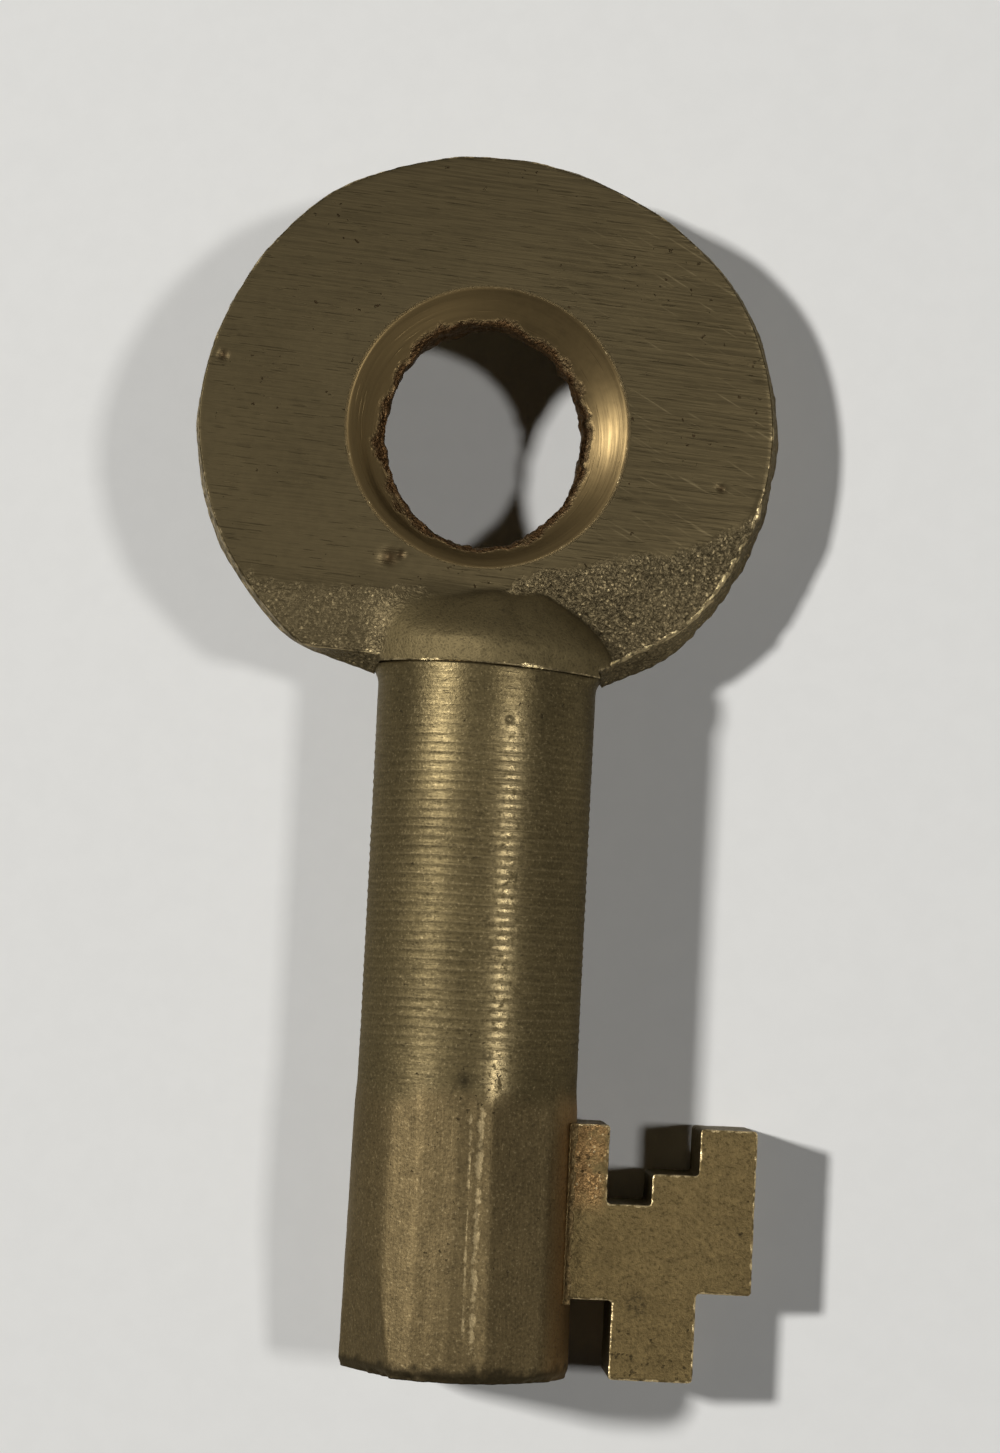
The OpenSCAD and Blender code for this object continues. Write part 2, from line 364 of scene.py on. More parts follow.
def colour(name, description, *display):
    """Colour property that defaults to a display colour."""
    return bpy.props.FloatVectorProperty(
        name=name, description=description, default=srgb(*display), subtype="COLOR", size=3, min=0, max=1
    )


class KeySizes(bpy.types.PropertyGroup):
    """Sizes of the key's surfaces."""

    bow_width: length("Bow width", "Width of the cast ring at its parting line", BOW_HIGH[0] - BOW_LOW[0])
    bow_thickness: length("Bow thickness", "Thickness of the ring between its filed faces", 3.3)
    sink_width: length("Countersink width", "Diameter of the countersinks at the faces", 12.2)
    rim_draft: angle("Rim draft", "Draft of the rim on each side of the parting line", 11)
    left_rise: angle("Left shoulder", "Rise of the left shoulder at the parting line", 17)
    right_rise: angle("Right shoulder", "Rise of the right shoulder at the parting line", 22)
    cast_slope: angle("Cast slope", "Slope of the as-cast zone towards the neck", 7)
    barrel_width: length("Barrel width", "Diameter of the turned stretch of the barrel", 9.5)
    lathe_pitch: length("Lathe pitch", "Distance between the rings left by the turning tool", 0.4)
    lathe_depth: length("Lathe depth", "Height of the rings left by the turning tool", 0.046)
    edge_round: length("Edge rounding", "Radius of the worn edges", 0.09)
    grain: length("Casting grain", "Height of the grain on as-cast surfaces", 0.05)


class KeyColours(bpy.types.PropertyGroup):
    """Colours of the key's brass and of the stage."""

    filed: colour("Filed brass", "Filed faces of the bow", 77, 67, 46)
    cast: colour("Cast brass", "As-cast skin of the bow", 103, 91, 66)
    dome: colour("Domed neck", "Smooth as-cast skin of the neck", 110, 97, 67)
    throat: colour("Throat", "Rough reddish wall of the hole", 84, 62, 38)
    sunk: colour("Countersunk brass", "Machined bevels of the hole", 83, 69, 44)
    turned: colour("Turned brass", "Turned stretch of the barrel", 86, 75, 50)
    unturned: colour("Unturned brass", "Tip of the barrel", 97, 83, 56)
    milled: colour("Milled brass", "Faces of the bit", 90, 76, 48)
    copper: colour("Coppery brass", "Granular root of the bit", 140, 110, 70)
    braze: colour("Braze", "Fillets along the bit", 112, 93, 61)
    # Worn edge is also the base of painted glints and painted highlights on burrs, edges and the barrel's
    # dashes
    worn: colour("Worn edge", "Bare brass along worn edges", 176, 157, 117)
    # Besides oxide in hollows and pits, this colour paints shade in the dome's crease, on the bit's walls and
    # along the seam
    grime_and_shade: colour("Grime", "Dark oxide in hollows and pits", 34, 29, 19)
    floor: colour("Floor", "Plain floor under the key", 237, 236, 232)


def lay(points):
    """Points rolled from the flat key to how it rests, in metres."""
    return points @ ROLLED.T / MM


def noise(points, size, seed):
    """Value noise from -1 to 1: fixed random values at the corners of cubes of a size, eased between."""
    cells = np.asarray(points) / size
    corner = np.floor(cells)
    ease = cells - corner
    ease = ease * ease * (3 - 2 * ease)
    total = np.zeros(cells.shape[:-1])
    for step in product((0, 1), repeat=3):
        at = (corner + step).astype(np.int64)
        mixed = (at[..., 0] * 73856093) ^ (at[..., 1] * 19349663) ^ (at[..., 2] * 83492791) ^ (seed * 40503)
        mixed = (mixed ^ (mixed >> 13)) * 1274126177
        mixed = (mixed ^ (mixed >> 16)) & 0xFFFF
        total += mixed / 0xFFFF * np.prod(np.where(step, ease, 1 - ease), axis=-1)
    return 2 * total - 1


def rough(points, layers):
    """Sum of layers of noise, each with its height, its size and its seed."""
    return sum(height * noise(points, size, seed) for height, size, seed in layers)


def bell(distance, width):
    """Bell curve: 1 in the middle, and 1/e at this width to each side."""
    return np.exp(-((distance / width) ** 2))


def ramp(value, low, high):
    """Smooth step from 0 at low to 1 at high."""
    share = np.clip((value - low) / (high - low), 0, 1)
    return share * share * (3 - 2 * share)


def soft_min(first, second, width):
    """Lesser of two values, rounded off over a width where they cross."""
    share = np.clip(0.5 + 0.5 * (second - first) / width, 0, 1)
    return second + (first - second) * share - width * share * (1 - share)


def soft_max(first, second, width):
    """Greater of two values, rounded off over a width where they cross."""
    return -soft_min(-first, -second, width)


def steps(count, start=0.0, end=1.0):
    """Evenly spaced row of values, as one row of a grid."""
    return np.linspace(start, end, count)[None, :]


def ring_quads(rows, columns, closed):
    """Quads of a grid whose rows close on themselves, and whose columns close too where asked."""
    index = np.arange(rows * columns).reshape(rows, columns)
    turned = np.roll(index, -1, axis=0)
    quads = np.stack((index, turned, np.roll(turned, -1, axis=1), np.roll(index, -1, axis=1)), axis=-1)
    return (quads if closed else quads[:, :-1]).reshape(-1, 4)


def outward(points, quads):
    """Quads turned round, if need be, so that the volume they enclose is positive."""
    a, b, c, d = (points[quads[:, corner]] for corner in range(4))
    volume = np.sum(a * np.cross(b, c)) + np.sum(a * np.cross(c, d))
    return quads if volume > 0 else quads[:, ::-1]


def add_piece(name, points, faces, marks, flow, node, flat_faces=0):
    """Mesh of flat points at rest, with its marks as attributes. The last flat_faces aren't smoothed."""
    mesh = bpy.data.meshes.new(name)
    mesh.from_pydata(lay(points), [], faces)
    smooth = np.ones(len(mesh.polygons), dtype=bool)
    smooth[len(smooth) - flat_faces:] = False
    mesh.polygons.foreach_set("use_smooth", smooth)
    for mark, values in marks.items():
        shares = mesh.attributes.new(mark, "FLOAT", "POINT")
        shares.data.foreach_set("value", np.ravel(values).astype(np.float32))
    along = mesh.attributes.new("flow", "FLOAT_VECTOR", "POINT")
    along.data.foreach_set("vector", np.ravel(flow).astype(np.float32))
    mesh.validate()
    piece = bpy.data.objects.new(name, mesh)
    bpy.context.scene.collection.objects.link(piece)
    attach(piece, "root")
    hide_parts(node)
    return piece


def rim_radius(turn, rise, front, sizes):
    """Radius of the bow's edge round the hole, from the parting line (rise 0) to the face (rise 1).

    It is the least of the ring's circle, the larger arcs that flatten it and the straight shoulders, each
    drawn in by its draft, and it is the sloping seat where the barrel meets the bow. The left of the rim is
    filed, on the front nearly square.
    """
    half = sizes.bow_thickness * MM / 2
    left = ramp(-np.cos(turn), 0.1, 0.6)
    filed = LEFT_FILED * left * (ramp(np.sin(turn), -0.5, -0.1) + ramp(np.sin(turn), -0.1, 0.9)) / 2
    draft = tan(sizes.rim_draft) * (1 - (1 - LEFT_DRAFT) * left * front)
    ring_r = sizes.bow_width * MM / 2 - filed - rise * half * draft
    radius = ring_r
    for direction, depth in RIM_FLATS:
        away = turn - radians(direction)
        arc_r = ring_r - depth + FLAT_SHIFT
        flat = np.sqrt(arc_r**2 - (FLAT_SHIFT * np.sin(away)) ** 2) - FLAT_SHIFT * np.cos(away)
        radius = soft_min(radius, flat, FLAT_ROUND)
    barrel_r = sizes.barrel_width * MM / 2
    least_facing = 0.3
    for (side, twist, low, high), slope in zip(SHOULDERS, (sizes.left_rise, sizes.right_rise)):
        slope = slope + twist * rise
        across, down = side * sin(slope), -cos(slope)
        start_y = SEAM_Y + low + (high - low) * rise
        reach = across * (side * barrel_r - HOLE_X) + down * (start_y - HOLE_Y)
        facing = across * np.cos(turn) + down * np.sin(turn)
        shoulder = np.where(facing > least_facing, reach / np.maximum(facing, least_facing), 2 * ring_r)
        radius = soft_min(radius, shoulder, SHOULDER_ROUND)
    fall = SEAT_FALL * rise * front
    drop = HOLE_Y - SEAM_Y - SEAT_RISE * rise * front + fall * HOLE_X
    to_seat = drop / np.maximum(-np.sin(turn) - fall * np.cos(turn), least_facing)
    over_barrel = np.abs(HOLE_X + to_seat * np.cos(turn)) < barrel_r + SEAT_GAP
    return np.where((np.sin(turn) < -least_facing) & over_barrel, to_seat, radius)


def cast_edge(x):
    """Height of the line below which the front is as cast: a straight slope that bends up at both sides."""
    line = HOLE_Y - CAST_DROP + tan(CAST_TILT) * (x - HOLE_X)
    right_x, right_bend = CAST_RIGHT
    left_x, left_bend = CAST_LEFT
    return line + right_bend * np.maximum(x - right_x, 0) ** 2 + left_bend * np.maximum(left_x - x, 0) ** 2


def face_height(x, y, sign, sizes):
    """Height of a face above the bow's middle plane, its as-cast and domed shares, and the dome's crease.

    The filed plane slopes away below a ragged line that rises to the right and dips over the neck. At the
    neck a dome round the barrel's axis stands out of it on the right, with a crisp foot. On the left a wider
    swell, a hump from side to side, falls evenly to the plane. Each face has its own noise.
    """
    place = np.stack((x, y, np.full_like(x, sign)), axis=-1)
    line = cast_edge(x)
    dip_x, dip_width, dip = CAST_DIP
    below = line - dip * bell(x - dip_x, dip_width) - y + rough(place, CAST_RAGGED)
    plane = sizes.bow_thickness * MM / 2 - tan(sizes.cast_slope) * soft_max(line - y, 0.0, CAST_ROUND)

    leaning = ramp(x, *LEAN_ACROSS)
    along = np.maximum(y - SEAM_Y - DOME_LEN, 0) / (DOME_RISE + DOME_LEAN * leaning)
    dome = 1 - along**DOME_ALONG - np.abs(x / DOME_HALF) ** DOME_ACROSS
    dome = DOME_R * np.sqrt(np.maximum(dome, 0))
    soft = FOOT_SOFT * (1 - ramp(x, *FOOT_ACROSS))

    crown = (DOME_R - SWELL_UNDER) * np.maximum(1 - (x / SWELL_HALF) ** 2, 0)
    fall = SWELL_FALL - SWELL_FALL * np.maximum(y - SEAM_Y - SWELL_LEN, 0) / SWELL_RISE
    fall = soft_max(soft_min(fall, 1.0, SWELL_EASE), 0.0, SWELL_EASE)
    # Where plane and swell are level, rounding lifts them by a quarter of its width, which is taken off again
    lift = SWELL_ROUND / 4 * (1 - ramp(fall, 0, 1))
    swell = soft_max(plane, plane + (crown - plane) * fall, SWELL_ROUND) - lift

    right = ramp(x, *SWELL_ACROSS)
    height = swell + (soft_max(plane, dome, FOOT_ROUND + soft) - swell) * right
    swollen = ramp(fall * (crown - plane), 0.1, 0.9)
    domed = swollen * (1 - right) + ramp(dome - plane, -0.15 - soft, 0.1 + soft) * right
    # Share of painted shade along the crisp foot of the dome on the right
    crease = bell(dome - plane, CREASE_WIDTH) * leaning * (y < HOLE_Y - CAST_DROP / 2)
    return height, ramp(below, -0.15, 0.35), domed, crease


def rolled_burr(turn, place, to_rim):
    """Share of the burr rolled up along the edge: a bell curve across it that wanders and is broken."""
    over = np.exp(-(((turn - ROLLED_TURN) / ROLLED_REACH) ** 4))
    broken = np.maximum(ROLLED_SHARE + rough(place, ROLLED_BROKEN), 0)
    return over * broken * bell(to_rim - ROLLED_INSET - rough(place, ROLLED_WANDER), ROLLED_WIDTH)


def bow_half(turn, sign, sizes):
    """One half of the bow from the middle of its throat to the parting line: radius, height and marks.

    The throat is a ragged oval, the sink is a cone from the throat's lip to the countersink's edge, the face
    follows face_height(), a quarter circle rounds its edge, and the rim runs straight to the parting line.
    """
    turn = turn[:, None]
    direction = np.concatenate((np.cos(turn), np.sin(turn)), axis=1)[:, None, :]
    strips = []

    def strip(radius, height, **marks):
        """Adds a strip across the section: its radius, its height and the marks that it carries."""
        shape = np.broadcast_shapes(np.shape(radius), np.shape(height), turn.shape)
        found = {name: np.broadcast_to(marks.get(name, 0), shape) for name in BOW_MARKS}
        strips.append((np.broadcast_to(radius, shape), np.broadcast_to(height, shape), found))

    def at_wall(height):
        """Places on a plain bore of the hole's size at these heights, for noise that follows the wall."""
        round_hole = np.broadcast_to(direction * HOLE_R, (len(turn), height.shape[1], 2))
        up = np.broadcast_to(sign * height[..., None], round_hole.shape[:2] + (1,))
        return np.concatenate((round_hole, up), axis=-1)

    throat_h = steps(THROAT_STEPS) * THROAT_HALF
    ragged = rough(at_wall(throat_h), THROAT_ROUGH)
    throat_r = HOLE_R - THROAT_UNDER - THROAT_OVAL * np.cos(2 * turn) + ragged
    strip(throat_r, throat_h, throat=1.0)

    sink_r = sizes.sink_width * MM / 2
    edge_h, *_ = face_height(HOLE_X + sink_r * np.cos(turn), HOLE_Y + sink_r * np.sin(turn), sign, sizes)
    lip_r = throat_r[:, -1:] + LIP_ROUND
    share = steps(SINK_STEPS)
    sunk_r = lip_r + (sink_r - lip_r) * share
    sunk_h = edge_h - tan(SINK_SLOPE) * (sink_r - sunk_r)
    torn = rough(at_wall(share * 2), SINK_TORN)
    cut = ramp(share + torn, 0.06, 0.24)
    lip_edge = 0.7 * ramp(share, 0.93, 1.0)
    strip(sunk_r, sunk_h + 0.03 * (1 - cut) * torn, sink=cut, throat=1 - cut, edge=lip_edge)

    flat_rim = rim_radius(turn, 1.0, sign > 0, sizes)
    # Painted highlight along the lower right of the front's edge, added to its wear mark
    painted_edge_light = 0.1 * ramp(np.cos(turn), 0.3, 0.6) * ramp(-np.sin(turn), 0.2, 0.5)
    worn = sizes.edge_round * MM
    inner, band = steps(FACE_STEPS, 0, BAND_START), steps(BAND_STEPS, BAND_START, 1)
    share = np.concatenate((inner[:, 1:], band[:, 1:]), axis=1)
    face_r = sink_r + (flat_rim - worn - sink_r) * share
    x = HOLE_X + face_r * np.cos(turn)
    y = HOLE_Y + face_r * np.sin(turn)
    height, cast, dome, crease = face_height(x, y, sign, sizes)
    place = np.stack((x, y, sign * height), axis=-1)
    calm = 0.3 + 0.7 * ramp(x, -3, 2)
    grainy = cast * (1 - dome) * calm
    lumps = rough(place, COARSE_GRAIN) * calm + rough(place, FINE_GRAIN)
    height = height + sizes.grain * MM * (grainy + 0.35 * dome) * lumps + rough(place, FACE_WAVES)
    pit = np.zeros_like(height)
    for pit_x, pit_y, width, depth in PITS if sign > 0 else ():
        spot = bell(np.hypot(x - pit_x, y - pit_y), width)
        height = height + depth * spot
        pit = np.maximum(pit, spot)
    to_rim = flat_rim - face_r
    rolled = rolled_burr(turn, place, to_rim) * (sign > 0)
    height = height - 0.025 * ramp(0.3 - to_rim, 0, 0.3) + ROLLED_UP * rolled
    rim_edge = (0.7 + painted_edge_light) * ramp(-to_rim, -0.35, -0.1)
    sink_edge = 0.6 * ramp(-share, -0.04, 0)
    strip(
        face_r,
        height,
        filed=1 - np.maximum(cast, dome),
        cast=grainy,
        dome=dome,
        crease=crease,
        pit=pit,
        edge=np.maximum(rim_edge, sink_edge) + rolled,
    )

    bend = steps(ROUND_STEPS)[:, 1:] * pi / 2
    edge_top = height[:, -1:]
    strip(flat_rim - worn + worn * np.sin(bend), edge_top - worn + worn * np.cos(bend), edge=1 + painted_edge_light)

    share = steps(RIM_STEPS)[:, 1:]
    part_r = rim_radius(turn, 0.0, sign > 0, sizes)
    wall_r = flat_rim + (part_r - flat_rim) * share
    left = ramp(-np.cos(turn), 0.3, 0.8)
    wall_edge = np.maximum(0.5 * ramp(-share, -0.25, 0), 0.95 * left)
    strip(wall_r, (edge_top - worn) * (1 - share), rim=1.0, edge=wall_edge)

    radius, height = (np.concatenate([part[kind] for part in strips], axis=1) for kind in (0, 1))
    marks = {name: np.concatenate([part[2][name] for part in strips], axis=1) for name in BOW_MARKS}
    return radius, height, marks


def bow_surface(sizes):
    """Bow as one closed grid round its hole, each row a section from the throat over the front and the back.

    The rows lie closer at the neck, where the seam and the dome are. The rim gets bumps, teeth and a line of
    flash, the throat is moved off the countersinks' middle, and burrs stand up along the lower edge.
    """
    barrel_r = sizes.barrel_width * MM / 2 + SEAT_GAP
    right = atan2(SEAM_Y - HOLE_Y, barrel_r - HOLE_X)
    left = atan2(SEAM_Y - HOLE_Y, -barrel_r - HOLE_X) + 2 * pi
    hair = 1e-4
    ring = np.linspace(right, left, BOW_SECTIONS)
    turn = np.concatenate((ring, np.linspace(left + hair, right + 2 * pi - hair, SEAT_SECTIONS)))
    front_r, front_h, front_marks = bow_half(turn, 1, sizes)
    back_r, back_h, back_marks = bow_half(turn, -1, sizes)
    backwards = np.s_[:, -2:0:-1]
    radius = np.concatenate((front_r, back_r[backwards]), axis=1)
    height = np.concatenate((front_h, -back_h[backwards]), axis=1)
    marks = {
        name: np.concatenate((front_marks[name], back_marks[name][backwards]), axis=1) for name in BOW_MARKS
    }

    across, up = np.cos(turn)[:, None], np.sin(turn)[:, None]
    place = np.stack((radius * across, radius * up, height), axis=-1)
    on_rim = np.maximum(marks["rim"], ramp(marks["edge"], 0.85, 1.0) * (1 - marks["sink"]))
    seated = (np.abs(HOLE_X + radius * across) < barrel_r + 0.1) & (radius * up < SEAM_Y - HOLE_Y + 0.6)
    toothed = 0.35 + 0.65 * ramp(across, 0, 0.7) * ramp(-up, -0.5, 0.3)
    bumps = rough(place, RIM_WAVES) + toothed * rough(place, RIM_TEETH)
    radius = radius + on_rim * ~seated * (bumps - RIM_ROOM + FLASH_UP * bell(height, FLASH_WIDTH))
    into_throat = ramp(radius, *THROAT_MOVED)
    x = HOLE_X + radius * across + THROAT_RIGHT * into_throat
    y = HOLE_Y + radius * up - THROAT_DOWN * into_throat
    for burr_x, burr_y, width, burr_up in BURRS:
        burr = bell(x - burr_x, width) * bell(y - burr_y, BURR_BREADTH) * (height > BURR_LEAST)
        height = height + burr_up * burr
        marks["edge"] = marks["edge"] + burr
    return np.stack((x, y, height), axis=-1), marks, turn


def bow_flow(points, marks, turn):
    """Coordinates that run slowly along the tool lines: straight over the faces, round the sunk bevels."""
    x, y, z = np.moveaxis(points, -1, 0)
    along = x * cos(FILE_LEAN) + y * sin(FILE_LEAN)
    across = y * cos(FILE_LEAN) - x * sin(FILE_LEAN)
    straight = np.stack((0.2 * along + 0.31 * across + 0.35, 5.5 * across, 0.4 * z + 0.55), axis=-1)
    around = np.broadcast_to(turn[:, None], x.shape)
    rings = np.stack((0.8 * np.cos(around), 0.8 * np.sin(around), 7 * z), axis=-1)
    return np.where((marks["sink"] > 0.5)[..., None], rings, straight)


def tube(path_y, radius, sides):
    """Round bar along the barrel: a ring of points at each height, with its ends left to be capped."""
    around = np.linspace(0, 2 * pi, sides, endpoint=False)[:, None]
    x = radius * np.sin(around)
    z = radius * np.cos(around)
    return np.stack(np.broadcast_arrays(x, path_y[None, :], z), axis=-1)


def build_bow(sizes):
    """Bow's closed ring with the tang that enters the barrel."""
    points, marks, turn = bow_surface(sizes)
    flow = bow_flow(points, marks, turn)
    ring = points.reshape(-1, 3)
    quads = outward(ring, ring_quads(*points.shape[:2], True))
    tang_y = np.array((TANG_END, TANG_END + TANG_CHAMFER, SEAM_Y + TANG_ROOT))
    tang = tube(tang_y, np.array((TANG_R - TANG_CHAMFER, TANG_R, TANG_R)), TANG_SIDES)
    tang_points = tang.reshape(-1, 3)
    tang_quads = outward(tang_points, ring_quads(*tang.shape[:2], False)) + len(ring)
    ends = np.arange(TANG_SIDES) * len(tang_y) + len(ring)
    caps = [ends[::-1].tolist(), (ends + len(tang_y) - 1).tolist()]
    plain = np.zeros(len(tang_points))
    marks = {name: np.concatenate((values.ravel(), plain)) for name, values in marks.items()}
    flow = np.concatenate((flow.reshape(-1, 3), tang_points))
    faces = quads.tolist() + tang_quads.tolist() + caps
    points = np.concatenate((ring, tang_points))
    return add_piece("bow_surface", points, faces, marks, flow, "bow", len(caps))


def ridges(around, y):
    """Share of the worn ridges along the tip: each a narrow bell curve across, faded out at its ends."""
    share = np.zeros(np.broadcast_shapes(np.shape(around), np.shape(y)))
    for at_tip, change, width in RIDGES:
        aside = (around - np.radians(at_tip + change * y)) * TIP_R
        share = np.maximum(share, bell(aside, width))
    return share * ramp(y, *RIDGE_START) * (1 - ramp(y, *RIDGE_END))


def lathe_rings(place, y, sizes):
    """Height of the rings on the turned stretch, and the share of their crests.

    Each ring is a hollow parabola between two crests. The rings wander a little, are uneven, and fade out at
    both ends of the stretch.
    """
    wander = rough(place * (0.3, 1, 0.3), RING_WANDER)
    phase = 2 * ((y / (sizes.lathe_pitch * MM) + wander) % 1) - 1
    ring = phase**2 * (0.65 + rough(place * (1, 0.5, 1), RING_BROKEN))
    uneven = 0.8 + rough(place * (0.2, 1, 0.2), RING_UNEVEN)
    deep = ramp(y, *RINGS_START) * (1 - 0.9 * ramp(y, *RINGS_END)) * uneven
    height = sizes.lathe_depth * MM * (0.1 + 0.9 * deep) * (ring - 0.6)
    return height, ramp(np.abs(phase), 0.6, 0.9) * deep


def tip_radius(around, y, place):
    """Radius of the unturned tip: a slight taper cut by long flats, with two worn ridges and a rough skin."""
    round_r = TIP_R + (ROOT_R - TIP_R) * y / UNTURNED_Y
    radius = round_r
    least_facing = 0.5
    for direction, at_tip, at_root, rounding in TIP_FLATS:
        facing = np.cos(around - radians(direction))
        flat_r = round_r - at_tip - (at_root - at_tip) * y / UNTURNED_Y
        flat = np.where(facing > least_facing, flat_r / np.maximum(facing, least_facing), 2 * TIP_R)
        radius = soft_min(radius, flat, rounding)
    radius = radius + RIDGE_UP * ridges((around + pi) % (2 * pi) - pi, y)
    return radius - TIP_ROOM + rough(place * (1, 0.12, 1), TIP_DRAWN) + rough(place, TIP_SKIN)


def barrel_radius(around, y, sizes):
    """Outside radius of the barrel at each direction and height, and the crests of the rings on it.

    The tip passes into the turned stretch along a ragged line. Dents, the chipped edge of the tip and the
    fillet under the shoulders are added last.
    """
    barrel_r = sizes.barrel_width * MM / 2
    place = np.stack((barrel_r * np.sin(around), y, barrel_r * np.cos(around)), axis=-1)
    rings, crest = lathe_rings(place, y, sizes)
    unturned = tip_radius(around, y, place)
    run_out = ramp(y + rough(place, RUNOUT_RAGGED), UNTURNED_Y - 0.1, UNTURNED_Y + RUNOUT_LEN)
    radius = unturned + (barrel_r + rings - unturned) * run_out
    for direction, dent_y, width, depth in DENTS + (DRIP,):
        aside = barrel_r * (around - radians(direction))
        radius = radius - depth * bell(np.hypot(aside, y - dent_y), width)
    chip = CHIP_FRONT + rough(place, TIP_CHIPS)
    chip = CHIP_BACK + (chip - CHIP_BACK) * ramp(np.cos(around), 0.3, 0.6)
    radius = radius - np.maximum(chip, CHIP_LEAST) * (1 - ramp(y, 0, CHIP_REACH))
    beside = ramp(np.abs(np.sin(around)), 0.84, 0.97)
    radius = radius + FILLET_UP * beside * ramp(y, SEAM_Y - FILLET_LEN, SEAM_Y - 0.1) ** 2
    return radius - SEAM_DROP * (1 - beside) * ramp(y, SEAM_Y - 0.06, SEAM_Y), crest


def barrel_surface(sizes):
    """Barrel as one closed grid round its axis: outside, top, socket for the tang, pin hole and tip."""
    front = np.linspace(-pi / 3, pi / 3, FRONT_SECTIONS, endpoint=False)
    back = np.linspace(pi / 3, 5 * pi / 3, BACK_SECTIONS, endpoint=False)
    around = np.concatenate((front, back))[:, None]
    edge_y, turned_y, seam_y = 0.4, UNTURNED_Y + 0.6, SEAM_Y - 0.1
    stretches = ((0, edge_y, 7), (edge_y, turned_y, 61), (turned_y, seam_y, 399), (seam_y, SEAM_Y, 4))
    rows = [np.linspace(low, high, count, endpoint=False) for low, high, count in stretches]
    outside = np.concatenate(rows + [[SEAM_Y]])[None, :]
    outer_r, crest = barrel_radius(*np.broadcast_arrays(around, outside), sizes)
    lift = (SEAT_RISE - SEAT_FALL * outer_r[:, -1:] * np.sin(around)) * np.maximum(np.cos(around), 0)
    outer_y = outside + lift * ramp(outside, SEAM_Y - 1.5, SEAM_Y)

    rim = np.concatenate((SOCKET_R * np.sin(around), 0 * around, SOCKET_R * np.cos(around)), axis=1)
    bumps = rough(rim * 1.3, TIP_END)[:, None]
    pin_r = PIN_R + rough(rim, PIN_WAVES)[:, None]
    across = steps(9)[:, 1:-1]
    inward = steps(4)[:, 1:]
    parts = (
        (outer_r, outer_y),
        (outer_r[:, -1:] + (SOCKET_R - outer_r[:, -1:]) * inward, SEAM_Y + lift * (1 - inward)),
        (SOCKET_R, steps(8, SEAM_Y, PIN_LEN)[:, 1:]),
        (SOCKET_R + (pin_r - SOCKET_R) * steps(3)[:, 1:], PIN_LEN),
        (pin_r, steps(16, PIN_LEN, 0.25)[:, 1:]),
        (pin_r + (outer_r[:, :1] - pin_r) * across, np.maximum(bumps, -0.02) * np.sin(across * pi) + 0.02),
    )
    parts = [np.broadcast_arrays(radius, y, around)[:2] for radius, y in parts]
    radius, y = (np.concatenate([part[side] for part in parts], axis=1) for side in (0, 1))
    points = np.stack((radius * np.sin(around), y, radius * np.cos(around)), axis=-1)

    marks = {name: np.zeros(radius.shape) for name in BARREL_MARKS}
    seen = np.s_[:, : outside.shape[1]]
    marks["crest"][seen] = crest
    run_out = outer_y + rough(points[seen], TURNED_RAGGED)
    marks["turned"][seen] = ramp(run_out, UNTURNED_Y, UNTURNED_Y + RUNOUT_LEN)
    marks["inside"][:, outside.shape[1]:] = 1
    grimy = 0.6 + rough(points[seen], TIP_GRIME) - outside
    # Seam under the bow: a dark joint, deepened by painted shade that is darker towards the right
    seam = (0.3 + 0.5 * ramp(np.sin(around), -0.3, 0.3)) * ramp(outside, SEAM_Y - 0.14, SEAM_Y - 0.02)
    marks["hollow"][seen] = seam + ramp(grimy, -0.1, 0.15)
    for turn, width, share in POLISH:
        marks["polish"][seen] += share * bell(np.degrees(around) - turn, width)
    marks["polish"] *= 1 - 0.8 * ramp(y, 27, 29)
    marks["edge"][seen] = ridges(around, outside)
    from_stain = ((around - STAIN_TURN) * STAIN_R) ** 2 + (outer_y - STAIN_Y) ** 2
    marks["spot"][seen] = np.exp(-from_stain / STAIN_SPREAD)
    flow = np.stack(np.broadcast_arrays(3 * np.sin(around), 6 * y, 3 * np.cos(around)), axis=-1)
    return points, marks, flow


def build_barrel(sizes):
    """Barrel's closed surface."""
    points, marks, flow = barrel_surface(sizes)
    flat = points.reshape(-1, 3)
    quads = outward(flat, ring_quads(*points.shape[:2], True))
    return add_piece("barrel_surface", flat, quads.tolist(), marks, flow, "barrel")


def rounded_outline(corners, radius, spacing):
    """Closed outline through square corners: a small arc rounds each, and straights are divided evenly."""
    corners = np.array(corners, dtype=float)
    runs = []
    for before, here, after in zip(np.roll(corners, 1, axis=0), corners, np.roll(corners, -1, axis=0)):
        into = (here - before) / hypot(*(here - before))
        out = (after - here) / hypot(*(after - here))
        swing = np.linspace(0, pi / 2, 5)[:, None]
        centre = here - into * radius + out * radius
        runs.append(centre + radius * (into * np.sin(swing) - out * np.cos(swing)))
        straight = hypot(*(after - here)) - 2 * radius
        count = max(2, int(straight / spacing))
        travel = np.linspace(radius, radius + straight, count + 1)[1:-1, None]
        runs.append(here + out * travel)
    return np.concatenate(runs)


